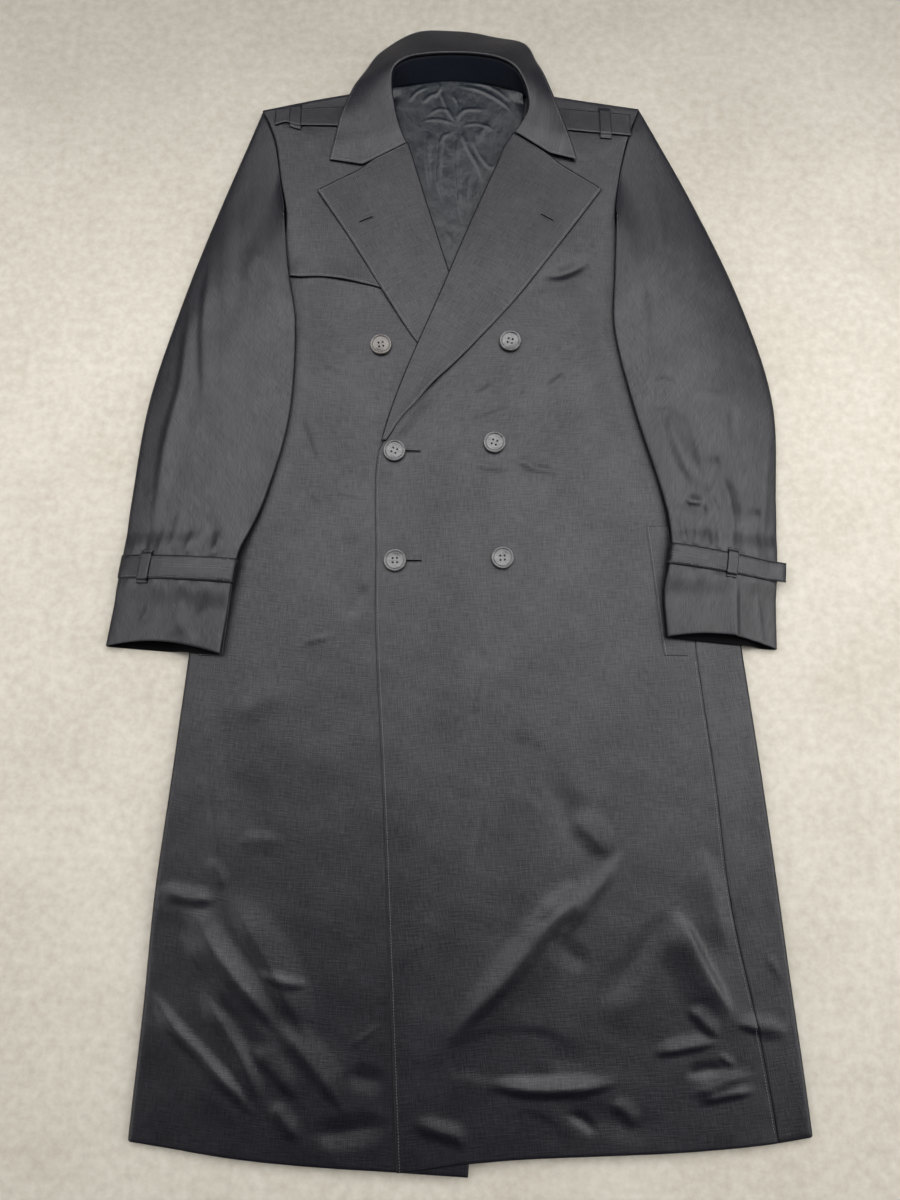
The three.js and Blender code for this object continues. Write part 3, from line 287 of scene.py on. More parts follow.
# The hollow beside the left lapel's lower end
LAPEL_HOLLOW = ((((-70, 784), (-53, 812), (-36, 833), (-14, 856)), 3, -2.6, 4.5),)
SLEEVE_VALLEYS = (
    (((-196, 1110), (-192, 1050), (-183, 1000), (-171, 929), (-176, 814), (-200, 715), (-232, 640)),
     26, -3.2, 0.7),
    (((196, 1110), (190, 1050), (188, 1000), (184, 925), (204, 825), (236, 715), (240, 650)),
     18, -3.2, 1.4),
)
RIGHT_SLEEVE_CREASES = (
    (((-295, 1026), (-297, 980), (-298, 920), (-294, 873), (-291, 820)), 16, 2.2, 0.4),
    (((-318, 971), (-319, 912), (-320, 862), (-328, 820), (-335, 781), (-339, 734), (-343, 695),
      (-348, 657)), 18, 2.6, 0.35),
    (((-297, 808), (-277, 790), (-247, 759)), 10, -1.4, 0.8),
    (((-257, 748), (-259, 714), (-274, 665)), 20, -1.1, 0.8),
    (((-273, 703), (-274, 671), (-267, 642)), 8, -1.7, 0.7),
    (((-236, 1023), (-232, 993), (-227, 959)), 14, -1.0, 0.8),
    (((-224, 873), (-238, 815), (-247, 776)), 26, 1.1, 0.8),
    (((-311, 701), (-312, 668), (-315, 646)), 12, 1.4, 0.7),
    (((-354, 725), (-347, 717)), 6, 0.8, 0.7),
    (((-250, 1150), (-262, 1060), (-250, 980)), 20, -1.3, 0.8),
    (((-276, 590), (-286, 566), (-284, 544)), 9, -1.6, 0.8),
    (((-300, 596), (-306, 574), (-300, 552)), 9, 1.4, 0.6),
    (((-336, 604), (-342, 584), (-352, 560)), 9, 1.2, 0.6),
)
LEFT_SLEEVE_CREASES = (
    (((246, 1224), (249, 1155), (257, 1099), (257, 1020)), 12, 1.6, 0.6),
    (((236, 1003), (244, 962), (246, 915), (246, 862)), 20, -1.7, 0.5),
    (((255, 836), (258, 804), (267, 765), (279, 737), (283, 716)), 22, 3.4, 0.35),
    (((312, 769), (307, 751), (300, 731), (293, 714)), 8, 3, 2),
    (((239, 846), (251, 856), (268, 850)), 7, 1.8, 0.6),
    (((237, 827), (258, 828)), 6, -1.4, 0.8),
    (((271, 709), (281, 711), (292, 706)), 7, -2.8, 0.8),
    (((281, 703), (278, 682), (274, 657)), 7, 2.2, 0.8),
    (((265, 694), (265, 676), (266, 659)), 5, 1.8, 0.8),
    (((300, 717), (306, 702), (306, 690)), 5, 1.7, 0.6),
    (((299, 720), (295, 692), (287, 665)), 8, -1.8, 0.8),
    (((311, 745), (320, 717), (324, 690), (323, 657)), 12, 2.2, 0.5),
    (((334, 833), (332, 776)), 8, -1.1, 0.8),
    (((381, 813), (372, 748), (364, 692), (359, 646)), 7, 1.1, 0.5),
    (((363, 702), (343, 687), (329, 675)), 14, 1.3, 0.6),
    (((246, 862), (243, 833), (248, 804), (255, 776)), 14, -1.2, 0.8),
    (((280, 844), (312, 841), (329, 844)), 10, 0.8, 0.6),
    (((237, 606), (248, 620), (260, 630)), 7, 2.2, 0.4),
    (((325, 620), (322, 580), (321, 525)), 3.5, 3.4, 5),
    (((346, 612), (350, 580), (352, 530)), 5, 1.2, 0.8),
)
# Gathers at each cuff strap: place across the sleeve, height, and reach up and down from it
GATHERS_RIGHT = table(
    "t h w up down",
    (0.1, 0.8, 4, 18, 14), (0.2, -1.1, 4, 24, 12), (0.33, 1.0, 4, 20, 16), (0.46, -1.2, 5, 30, 18),
    (0.57, 1.2, 4, 34, 14), (0.68, -1.0, 4, 22, 20), (0.8, 1.3, 5, 30, 16), (0.9, -0.9, 4, 18, 12))
GATHERS_LEFT = table(
    "t h w up down",
    (0.09, -0.8, 4, 20, 12), (0.21, 0.9, 5, 26, 14), (0.34, -1.2, 5, 24, 12),
    (0.45, 1.4, 4, 40, 16), (0.56, -1.6, 5, 44, 14), (0.68, 1.6, 5, 48, 18),
    (0.78, -1.5, 4, 36, 12), (0.88, 1.4, 5, 40, 14))
LINING_CREASES = (
    (((9, 1217), (2, 1207), (-11, 1199), (-13, 1173), (-15, 1137), (-6, 1095)), 4.8, 2, 0.45),
    (((9, 1214), (7, 1173), (10, 1130), (13, 1092), (20, 1068)), 4.8, 2.4, 0.4),
    (((13, 1217), (20, 1188), (36, 1155), (45, 1125)), 4.8, 2.2, 0.5),
    (((28, 1204), (35, 1178), (52, 1155), (65, 1173)), 4, 1.6, 0.5),
    (((-28, 1214), (-29, 1188), (-28, 1150), (-23, 1112)), 5.6, 1.8, 0.5),
    (((9, 1219), (18, 1238), (48, 1239)), 3.2, 1.6, 0.6),
    (((9, 1219), (-3, 1240), (-14, 1275)), 3.2, 1.8, 0.6),
    (((9, 1219), (11, 1246), (0, 1267)), 3.2, 1.5, 0.6),
    (((-21, 1256), (-12, 1272), (-17, 1280)), 3.2, 1.6, 0.6),
    (((-53, 1248), (-44, 1264), (-24, 1275)), 4, 1.6, 0.6),
    (((-37, 1246), (-26, 1259), (-12, 1264)), 4, 1.6, 0.6),
    (((6, 1275), (39, 1267), (71, 1246), (84, 1225)), 4.8, 2, 0.5),
    (((18, 1280), (53, 1272), (85, 1246)), 4, 1.5, 0.5),
    (((60, 1277), (76, 1267), (87, 1246)), 4, 1.4, 0.5),
    (((-30, 1230), (-14, 1240), (6, 1235)), 3.2, 1.3, 0.6),
    (((9, 1219), (-18, 1226), (-40, 1222)), 3.2, 1.3, 0.6),
    (((12, 1216), (38, 1218), (62, 1206)), 3.2, 1.2, 0.6),
    (((52, 1225), (38, 1204), (29, 1188)), 8, 1.2, 0.7),
    (((-3, 1068), (2, 1048), (0, 1028)), 6.4, 1.2, 0.7),
    (((24, 1148), (20, 1112), (24, 1087)), 6.4, 1.2, 0.7),
    (((-44, 1190), (-48, 1160), (-42, 1130)), 5.6, 1.3, 0.6),
    (((30, 1130), (34, 1104), (30, 1080)), 4.8, 1.3, 0.6),
)


def mix(a, b, t):
    return a + (b - a) * t


def ease(a, b, x):
    """A smooth rise from 0 at `a` to 1 at `b`."""
    t = np.clip((x - a) / (b - a), 0, 1)
    return t * t * (3 - 2 * t)


def steps(count):
    """The ends of `count` equal steps from 0 to 1."""
    return np.linspace(0, 1, count + 1)


def read(t, key, value, at):
    """Column `value` of a table read at `at` in its column `key`, joined by smooth curves."""
    k, v = t[key], t[value]
    at = np.asarray(at, float)
    before = np.r_[0, np.arange(len(k) - 1)]
    after = np.r_[np.arange(1, len(k)), len(k) - 1]
    slope = (v[after] - v[before]) / (k[after] - k[before])
    i = np.clip(np.searchsorted(k, at) - 1, 0, len(k) - 2)
    run = k[i + 1] - k[i]
    s = np.clip((at - k[i]) / run, 0, 1)
    s2, s3 = s * s, s * s * s
    return ((2 * s3 - 3 * s2 + 1) * v[i] + (s3 - 2 * s2 + s) * run * slope[i]
            + (3 * s2 - 2 * s3) * v[i + 1] + (s3 - s2) * run * slope[i + 1])


def station(t, at):
    """A table read by row number, as a smooth curve through all its columns."""
    numbered = dict(t, i=np.arange(len(next(iter(t.values()))), dtype=float))
    return {name: read(numbered, "i", name, at) for name in t}


def body_sides(y):
    """X of the right and left side folds and of the left side seam."""
    low = y < ARMPIT_Y - 10
    at = np.maximum(y, ARMPIT_Y)
    right = np.where(low, read(SIDES, "y", "right", y), read(ARMHOLES, "y", "back_right", at))
    left = np.where(low, read(SIDES, "y", "left", y), read(ARMHOLES, "y", "back_left", at))
    return right, left, np.where(low, read(SIDES, "y", "seam", y), SIDES["seam"][-1])


def straight_folds(folds, x, y, margin, run_in, only_raised=False):
    """Heights of folds along straight lines, as in the part's source."""
    total = np.zeros(np.broadcast(x, y).shape)
    for x0, y0, x1, y1, w, h in zip(*(folds[c] for c in ("x0", "y0", "x1", "y1", "w", "h"))):
        dx, dy = x1 - x0, y1 - y0
        length = math.hypot(dx, dy)
        s = ((x - x0) * dx + (y - y0) * dy) / length
        off = ((x - x0) * dy - (y - y0) * dx) / length
        ends = ease(-margin, run_in * length, s) * ease(-margin, run_in * length, length - s)
        rise = h * np.exp(-((off / w) ** 2)) * ends
        total = total + (np.maximum(0, rise) if only_raised else rise)
    return total


@functools.lru_cache(maxsize=None)
def smooth_path(path):
    """A crease's line with more points on it, as a smooth curve through its own."""
    p = np.array(path, float)
    number = np.arange(len(p), dtype=float)
    at = np.linspace(0, len(p) - 1, 4 * (len(p) - 1) + 1)
    line = {"i": number, "x": p[:, 0], "y": p[:, 1]}
    return np.c_[read(line, "i", "x", at), read(line, "i", "y", at)]


def creases(rows, x, y):
    """Heights of creases: even slopes down from a crisp crest on both sides."""
    x, y = np.broadcast_arrays(np.asarray(x, float), np.asarray(y, float))
    total = np.zeros(x.shape)
    for path, width, height, narrow in rows:
        p = smooth_path(path)
        reach = 1.5 * width * max(1, narrow)
        (x0, y0), (x1, y1) = p.min(axis=0) - reach, p.max(axis=0) + reach
        near = (x > x0) & (x < x1) & (y > y0) & (y < y1)
        if near.any():
            total[near] += height * crease(p, width, narrow, x[near], y[near])
    return total


def crease(p, width, narrow, x, y):
    """Share of a crease's height at each point."""
    runs = np.hypot(*(p[1:] - p[:-1]).T)
    starts = np.r_[0, np.cumsum(runs)]
    nearest = np.full(x.shape, 1e9)
    along = np.zeros(x.shape)
    side = np.zeros(x.shape)
    for (ax, ay), (bx, by), run, start in zip(p[:-1], p[1:], runs, starts):
        dx, dy = (bx - ax) / run, (by - ay) / run
        s = np.clip((x - ax) * dx + (y - ay) * dy, 0, run)
        ex, ey = x - ax - s * dx, y - ay - s * dy
        distance = np.hypot(ex, ey)
        closer = distance < nearest
        nearest = np.where(closer, distance, nearest)
        along = np.where(closer, (start + s) / starts[-1], along)
        side = np.where(closer, dx * ey - dy * ex, side)
    ends = ease(0, 0.3, along) * ease(0, 0.35, 1 - along)
    w = width * (0.5 + 0.5 * ends) * np.where(side > 0, 1, narrow)
    q = np.hypot(nearest / w, CREST_ROUND) - CREST_ROUND
    return ends * 0.5 * (1 - q + np.hypot(1 - q, FOOT_ROUND))


def undulation(x, y):
    """The slight unevenness of cloth that has been worn, in waves of several sizes."""
    a = np.sin(0.021 * x + 0.9 * np.sin(0.013 * y + 0.4)) * np.sin(0.017 * y - 0.8)
    b = np.sin(0.052 * x - 0.037 * y + 1.2 * np.sin(0.019 * x)) * np.sin(0.041 * y + 0.02 * x)
    c = np.sin(0.11 * x + 0.06 * y + np.sin(0.05 * y)) * np.sin(0.083 * y - 0.05 * x + 2)
    return 0.45 * a + 0.3 * b + 0.12 * c


def shoulder_y(x):
    return read(SHOULDERS, "x", "y", np.clip(x, *SHOULDER_X))


def warp(x, y):
    """How far the plan is pulled up or down towards the curved shoulder line."""
    return (shoulder_y(x) - SHOULDER_Y) * ease(WARP_FROM_Y, SHOULDER_Y, y)


def drop(d):
    """How far the cloth falls from its full height towards a soft fold that is `d` away."""
    t = np.clip(d / EDGE_R, 0, 1)
    return 1 - np.sqrt(np.maximum(0, 1 - (1 - t) ** 2))


def plain_top(x, y):
    """Height of the coat's upper layer, without folds or what lies on it."""
    right, left, _ = body_sides(np.minimum(y, ARMPIT_Y))
    to_shoulder = shoulder_y(x) - y
    inside = np.minimum(np.minimum(x - right, left - x), 1.6 * to_shoulder)
    top = SIDE_H + CROWN * ease(0, 110, inside)
    return top - (top - EDGE_R) * drop(np.maximum(0, to_shoulder))


def flap_height(x, y):
    """The height that the storm flap adds under the right lapel."""
    return (LAY + CLOTH) * ease(920, 978, y) * (1 - ease(-40, 0, x))


def overlap(x, y):
    """The height that the wearer's left front gains over the right front and lapel."""
    on_front = 1 - ease(90, 200, x)
    on_lapel = (1 - ease(60, 150, x)) * ease(690, 780, y)
    over = (LAY + CLOTH) * on_front + (2 * LAY + FACED) * on_lapel
    return over * (1 - ease(1010, 1190, y))


def showing(x, y):
    """Folds show below the cuffs, and above them only between the sleeves."""
    return 1 - ease(470, 520, y) * ease(150, 185, np.abs(x + NECK_X))


def surface_detail(x, y):
    """Creases and unevenness, which fade at the buttons and the shoulder seam."""
    calm = 1 - 0.8 * ease(1180, 1230, y)
    for _, bx, by, _ in BUTTONS:
        calm = calm * ease(10, 26, np.hypot(x - bx, y - by))
    return (1.15 * creases(BODY_CREASES, x, y) + 1.1 * undulation(x, y)) * calm


def valley(x, y):
    """The hollow in the fronts beside each sleeve."""
    return creases(SLEEVE_VALLEYS, x, y) * (1 - ease(1120, 1180, y))


def front_folds(x, y, only_raised=False):
    return straight_folds(FOLDS, x, y, FOLD_MARGIN, FOLD_RUN_IN, only_raised)


def right_top(x, y):
    folds = FOLD_SHARE * front_folds(x, y) + surface_detail(x, y)
    return plain_top(x, y) + folds * showing(x, y) * (1 - ease(-70, -60, x)) + valley(x, y)


def left_top(x, y):
    # Folds and creases only stand up where the right front lies under this one
    free = ease(95, 130, x)
    folds = FOLD_SHARE * mix(front_folds(x, y, True), front_folds(x, y), free)
    detail = surface_detail(x, y)
    detail = mix(np.maximum(detail, -0.4), detail, free) + creases(LAPEL_HOLLOW, x, y)
    return plain_top(x, y) + overlap(x, y) + (folds + detail) * showing(x, y) + valley(x, y)


def on_right(x, y):
    return plain_top(x, y) + flap_height(x, y)


def on_left(x, y):
    return plain_top(x, y) + overlap(x, y)


def normals_of(points, up=1, tube=False):
    """Outward normals of a grid of points on a visible face."""
    along = np.gradient(points, axis=0)
    if tube:
        across = np.roll(points, -1, 1) - np.roll(points, 1, 1)
    else:
        across = np.gradient(points, axis=1)
    normals = np.cross(across, along)
    normals /= np.maximum(np.linalg.norm(normals, axis=2, keepdims=True), 1e-9)
    outwards = points - points.mean(axis=1, keepdims=True)
    facing = (normals * outwards).sum() if tube else normals[..., 2].sum() * up
    return normals * np.sign(facing)


def tightened(points, tube):
    """The grid with one more row or column close to each cut edge, where the rim rounds over."""
    for axis in (0,) if tube else (0, 1):
        grid = np.moveaxis(points, axis, 0)
        rows = [grid[0], edge_row(grid[0], grid[1]), *grid[1:-1], edge_row(grid[-1], grid[-2]),
                grid[-1]]
        points = np.moveaxis(np.array(rows), 0, axis)
    return points


def edge_row(edge, inner):
    """The row next to a cut edge, never more than about halfway to the next."""
    reach = np.linalg.norm(inner - edge, axis=1, keepdims=True)
    return edge + (inner - edge) * np.minimum(0.45, RIM / np.maximum(reach, 1e-6))


def to_frame(points):
    """Millimetres on the coat's plan to metres in the part's frame."""
    return (np.asarray(points).reshape(-1, 3) + ORIGIN_SHIFT) / 1000


low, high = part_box("button_right_3")
ORIGIN_SHIFT = np.array([500 * (low[0] + high[0]) + 63, 500 * (low[1] + high[1]) - 641, 0])
MATERIALS = {}


def add_mesh(name, points, faces, material, uv=None):
    """A new object that rides on the part, from points in millimetres."""
    mesh = bpy.data.meshes.new(name)
    mesh.from_pydata(to_frame(points).tolist(), [], faces)
    mesh.polygons.foreach_set("use_smooth", [True] * len(mesh.polygons))
    if uv is not None:
        layer = mesh.uv_layers.new(name="cloth")
        corners = np.empty(len(mesh.loops), int)
        mesh.loops.foreach_get("vertex_index", corners)
        layer.data.foreach_set("uv", np.asarray(uv)[corners].ravel())
    mesh.materials.append(MATERIALS[material])
    mesh.validate()
    mesh.update()
    obj = linked(name, mesh)
    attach(obj, "root")
    return obj


def linked(name, data):
    obj = bpy.data.objects.new(name, data)
    bpy.context.scene.collection.objects.link(obj)
    return obj


def cloth_uv(points, tube):
    """Lengths across and along the cloth, in metres, so that the weave keeps its size."""
    across = np.linalg.norm(np.diff(points, axis=1), axis=2)
    along = np.linalg.norm(np.diff(points, axis=0), axis=2)
    u = np.concatenate([np.zeros((points.shape[0], 1)), np.cumsum(across, axis=1)], axis=1)
    v = np.concatenate([np.zeros((1, points.shape[1])), np.cumsum(along, axis=0)], axis=0)
    middle = points.shape[1] // 2
    u = u if tube else u - u[:, middle:middle + 1]
    return np.stack([u, v], axis=2).reshape(-1, 2) / 1000


def cloth(name, points, thickness, up, tube, material):
    """A closed wall of cloth behind its visible face, with rounded cut edges."""
    points = tightened(points, tube)
    return wall(name, points, points - normals_of(points, up, tube) * thickness, tube, material)


def wall(name, outer, inner, tube, material="coat_cloth"):
    """A closed wall between two grids of points, joined round its rims."""
    m, n = outer.shape[:2]
    uv = cloth_uv(outer, tube)
    index = np.arange(m * n).reshape(m, n)
    wrap = np.r_[np.arange(n), 0] if tube else np.arange(n)
    a, b = index[:-1, wrap[:-1]].ravel(), index[:-1, wrap[1:]].ravel()
    c, d = index[1:, wrap[1:]].ravel(), index[1:, wrap[:-1]].ravel()
    half = m * n
    faces = np.stack([a, b, c, d], 1).tolist()
    faces += np.stack([a + half, d + half, c + half, b + half], 1).tolist()
    # The rim: one closed loop for a sheet, two for a tube
    if tube:
        loops = [(index[0], index[1], 1), (index[-1], index[-2], -1)]
    else:
        ring = np.r_[index[0, :-1], index[:-1, -1], index[-1, :0:-1], index[:0:-1, 0]]
        back = np.r_[index[1, :-1], index[:-1, -2], index[-2, :0:-1], index[:0:-1, 1]]
        loops = [(ring, back, 1)]
    flat_outer, flat_inner = outer.reshape(-1, 3).copy(), inner.reshape(-1, 3).copy()
    start = 2 * half
    rims, rim_uv = [], []
    for ring, back, turn in loops:
        through = flat_outer[ring] - flat_inner[ring]
        away = flat_outer[ring] - flat_outer[back]
        away /= np.maximum(np.linalg.norm(away, axis=1, keepdims=True), 1e-6)
        depth = np.linalg.norm(through, axis=1, keepdims=True)
        middle = 0.5 * (flat_outer[ring] + flat_inner[ring]) + 0.2 * depth * away
        flat_outer[ring] -= 0.24 * through
        flat_inner[ring] += 0.24 * through
        rims.append(middle)
        rim_uv.append(uv[ring])
        count = len(ring)
        here = np.arange(count)
        there = np.roll(here, -1)
        p, q = ring[here], ring[there]
        r, s = start + here, start + there
        for quad in (np.stack([p, r, s, q], 1), np.stack([p + half, q + half, s, r], 1)):
            faces += quad[:, ::turn].tolist()
        start += count
    points = np.concatenate([flat_outer, flat_inner, *rims])
    uv = np.concatenate([uv, uv, *rim_uv])
    obj = add_mesh(name, points, oriented(points, faces), material, uv)
    return obj


def lining_and_painted_shade_inside(sleeve, grid):
    """Give the inside of a sleeve a near-black, dull colour, its lining's colour darkened as
    painted shade: the second half of its wall's faces.
    """
    sleeve.data.materials.append(MATERIALS["sleeve_lining_painted_shade"])
    faces = sleeve.data.polygons
    count = len(faces) // 2 - 2 * grid.shape[1]
    for face in faces[count:2 * count]:
        face.material_index = 1


def oriented(points, faces):
    """Faces turned so that they look out of the closed body."""
    corners = points[np.array(faces)]
    spread = np.cross(corners[:, 2] - corners[:, 0], corners[:, 3] - corners[:, 1])
    volume = (corners.mean(axis=1) * spread).sum()
    return faces if volume > 0 else [face[::-1] for face in faces]


# The body's panels
FOLD_STEPS = np.array([0, 0.15, 0.6, 1.3, 2.2, 3.4])
BODY_ROWS = np.r_[np.arange(HEM_Y, SHOULDER_Y - EDGE_R - 2, GRID), SHOULDER_Y - EDGE_R,
                  SHOULDER_Y - FOLD_STEPS[::-1]]


def closing(y):
    """Whether a side seam is closed: 1 below the armpit, 0 above it."""
    return 1 - ease(ARMPIT_Y - 15, ARMPIT_Y + 13, y)


def placed(x, y, z, hem=HEM):
    """Points with the shoulder line's pull and the hem's rise."""
    rise = (1 - ease(HEM_Y, 220, y)) * read(hem, "x", "y", x)
    return np.stack([x, y + warp(x, y) + rise, z], axis=-1)


def right_outer(y):
    return np.where(y < ARMPIT_Y, body_sides(y)[0], read(ARMHOLES, "y", "front_right", y))


def left_outer(y):
    seam = body_sides(y)[2] - SEAM
    return np.where(y < ARMPIT_Y, seam, read(ARMHOLES, "y", "front_left", y))


def front_panel(outer, inner_table, top, inward, side_fold, hem):
    """A front from its side to its edge; `inward` is 1 towards the wearer's left."""
    y = BODY_ROWS[:, None]
    start = outer(y)
    set_back = ROLL_SET_BACK * ease(BREAK_Y - 12, BREAK_Y, y)
    end = np.full_like(y, NECK_X)
    for _ in range(4):
        end = read(inner_table, "y", "x", y + warp(end, y)) - inward * set_back
    near = start + inward * FOLD_STEPS[None, :]
    count = int(330 / GRID)
    across = mix(start + inward * EDGE_R, end, steps(count)[None, :])
    x = np.concatenate([near, across], axis=1)
    y = np.broadcast_to(y, x.shape)
    height = top(x, y + warp(x, y))
    fall = side_fold * closing(y) * drop(np.abs(x - start))
    z = np.maximum(EDGE_R + SEAM, height - (height - EDGE_R) * fall)
    return placed(x, y, z, hem)


def back_panel():
    """The back with its soft side folds, and on the left its strip up to the side seam."""
    y = BODY_ROWS[::2][:, None]
    y = np.r_[y, [[SHOULDER_Y]]] if y[-1, 0] != SHOULDER_Y else y
    right, left, seam = body_sides(y)
    closed = closing(y)
    right, left = right + SEAM * (1 - closed), left - SEAM * (1 - closed)
    strip = 8
    xs, zs = [], []
    for d in FOLD_STEPS[:-1]:
        xs.append(right + d)
        zs.append(closed * (EDGE_R * drop(d) - SEAM))
    for t in steps(60):
        xs.append(mix(right + EDGE_R, left - strip, t))
        zs.append(np.zeros_like(y))
    turn, over = steps(12)[1:], steps(14)[1:]
    count = len(turn) + len(over)
    for k, t in enumerate(turn):
        flat = left - strip * (1 - (k + 1) / count)
        x = left - EDGE_R + EDGE_R * math.sin(math.pi * t)
        xs.append(mix(flat, x, closed))
        zs.append(closed * EDGE_R * (1 - math.cos(math.pi * t)))
    for k, t in enumerate(over):
        flat = left - strip * (1 - (len(turn) + k + 1) / count)
        x = mix(left - EDGE_R, seam + SEAM, t)
        folds = FOLD_SHARE * front_folds(x, y) + surface_detail(x, y)
        xs.append(mix(flat, x, closed))
        zs.append(closed * (plain_top(x, y) + folds * showing(x, y) * ease(0, 0.3, t)))
    x, z = np.concatenate(xs, axis=1), np.concatenate(zs, axis=1)
    y = np.broadcast_to(y, x.shape)
    shoulder = ease(72, 92, np.abs(x - NECK_X)) * EDGE_R * drop(SHOULDER_Y - y)
    z = np.maximum(z, shoulder - SEAM * drop(SHOULDER_Y - y) ** 8)
    return placed(x, y, z)


def rolled_section(roll, outer, height, columns):
    """Points across a rolled edge at `roll` and on to `outer`, a row for each pair."""
    away = outer - roll
    away = away / np.maximum(np.linalg.norm(away, axis=1, keepdims=True), 1e-6)
    start = roll + away * ROLL_R
    top = height(start[:, 0], start[:, 1], 0)
    section = []
    for degrees in range(-30, 90, 12):
        a = math.radians(degrees)
        p = roll + away * ROLL_R * (1 - math.cos(a))
        section.append(np.c_[p, top - ROLL_R * (1 - math.sin(a))])
    for t in steps(columns):
        p = mix(start, outer, t)
        section.append(np.c_[p, height(p[:, 0], p[:, 1], t)])
    return np.stack(section, axis=1)


def lapel(roll, edge, low_y, point_y, gorge_y, below, lift):
    """A lapel from its rolled edge to its outer edge, over the surface `below`."""
    v = steps(int(360 / FINE))
    yr, ye = mix(low_y, gorge_y, v), mix(low_y, point_y, v)
    a = np.c_[read(roll, "y", "x", yr), yr]
    b = np.c_[read(edge, "y", "x", ye), ye]
    grid = rolled_section(a, b, lambda x, y, t: below(x, y) + LAY + FACED, int(130 / FINE))
    across = np.clip((np.arange(grid.shape[1]) - 10) / (grid.shape[1] - 10), 0, 1)[None, :]
    grid[..., 2] += lift(v[:, None], across)
    grid[..., 1] += LAPEL_TUCK * ease(0.88, 1, v)[:, None] * (1 - ease(0.3, 0.55, across))
    return grid


def lift_right(v, t):
    edge = ease(0.6, 1, t)
    return edge * (0.8 + 0.5 * np.sin(9 * v)) * ease(0.5, 0.7, v) + 0.5 * ease(0.75, 1, v) * t


def lift_left(v, t):
    opening = ease(0, 0.1, v) * (1 - ease(0.12, 0.4, v)) * 1.6 * t
    wave = ease(0.5, 1, t) * (0.9 + 0.6 * np.sin(8 * v + 1)) * ease(0.05, 0.2, v)
    dent = -0.7 * np.exp(-(((t - 0.45) / 0.22) ** 2)) * ease(0.3, 0.5, v) * (1 - ease(0.7, 0.9, v))
    return opening + wave + np.maximum(dent, -0.3)


def collar_fall():
    v = steps(int(460 / FINE))
    c = station(COLLAR, v * COLLAR_LAST)
    roll, edge = np.c_[c["x"], c["y"]], np.c_[c["ex"], c["ey"]]
    columns = int(70 / FINE)
    grid = rolled_section(roll, edge, lambda x, y, t: mix(c["z"], c["ez"], t), columns)
    t = np.clip((np.arange(grid.shape[1]) - (grid.shape[1] - 1 - columns)) / columns, 0, 1)
    tent = np.minimum(t / NOTCH_AT, (1 - t) / (1 - NOTCH_AT))
    grid[..., 1] -= c["dip"][:, None] * tent[None, :]
    wave = 0.5 * np.sin(26 * v + 1) + 0.3 * np.sin(61 * v)
    whole = ease(0, 0.07, v) * ease(0, 0.07, 1 - v)
    wave, dome = wave * whole, 1.1 * whole
    grid[..., 2] += wave[:, None] * ease(0.5, 1, t)[None, :] - 0.9 * (1 - whole)[:, None]
    grid[..., 2] += dome[:, None] * np.sin(np.pi * t)[None, :]
    return grid


def collar_stand():
    c = station(COLLAR, mix(0.7, COLLAR_LAST - 0.7, steps(150)))
    away = np.c_[c["ex"] - c["x"], c["ey"] - c["y"]]
    away /= np.linalg.norm(away, axis=1, keepdims=True)
    foot = np.c_[c["nx"], c["ny"] + 1, np.maximum(c["nz"] - 1.2, CLOTH + 0.2)]
    top = np.c_[np.c_[c["x"], c["y"]] + away, c["z"] - 2.2 * ROLL_R]
    return np.stack([mix(foot, top, t) for t in steps(8)], axis=1)


def back_lining():
    v = steps(190)[:, None]
    y = mix(LINING_LOW_Y, SHOULDER_Y + 1, v)
    half = mix(100, 88, ease(1190, SHOULDER_Y, y))
    x = NECK_X + half * (2 * steps(130)[None, :] - 1)
    y = np.broadcast_to(y, x.shape)
    yy = y + warp(x, y)
    height = 0.8 + 0.55 * creases(LINING_CREASES, x, yy) + 0.6 * undulation(2.6 * x, 2.6 * y)
    height = np.maximum(height, -0.3) * (1 - ease(70, 90, np.abs(x - NECK_X)))
    z = CLOTH + LAY + LINING_WALL + height
    seam = np.interp(x, COLLAR["nx"][3:12], COLLAR["nz"][3:12]) + 0.4
    return np.stack([x, yy, mix(z, np.maximum(z, seam), ease(0.95, 0.99, v))], axis=-1)


def storm_flap():
    v, t = steps(96)[:, None], steps(56)[None, :]
    low_edge = read(FLAP_EDGE, "x", "y", mix(-212, -66, t))
    y = mix(low_edge, SHOULDER_Y - 6, v)
    start = read(ARMHOLES, "y", "front_right", np.maximum(y, ARMPIT_Y)) + 0.6
    x = mix(start, mix(-66, -92, v), t)
    yy = y + warp(x, y)
    edge = (0.7 + 0.5 * np.sin(14 * t)) * (1 - ease(0, 0.12, v)) * (1 - ease(0.75, 0.95, t))
    return np.stack([x, yy, right_top(x, yy) + LAY + CLOTH + edge], axis=-1)


# Sleeves
def fold_round(t):
    """The rounded section of a flat tube: 0 at its folds and 1 between them."""
    return (1 - np.abs(2 * t - 1) ** 4) ** 0.25


def even_steps(count):
    """Places across a sleeve at even lengths over its rounded section."""
    t = 0.5 - 0.5 * np.cos(np.pi * steps(4000))
    lengths = np.r_[0, np.cumsum(np.hypot(np.diff(t) * SLEEVE_W, np.diff(fold_round(t)) * SIDE_H))]
    return np.interp(steps(count) * lengths[-1], lengths, t)


UPPER_STEPS = even_steps(52)
LOWER_STEPS = even_steps(36)[1:-1]


def support(sleeve, x, y):
    """Height of what a sleeve lies on, with the room kept over the pocket welt."""
    along = ease(505, 520, y) * (1 - ease(695, 710, y))
    near = np.abs(x - sleeve["welt_x"])
    return sleeve["under"](x, y) + (LAY + TRIM) * along * (1 - ease(22.5, 37.5, near))


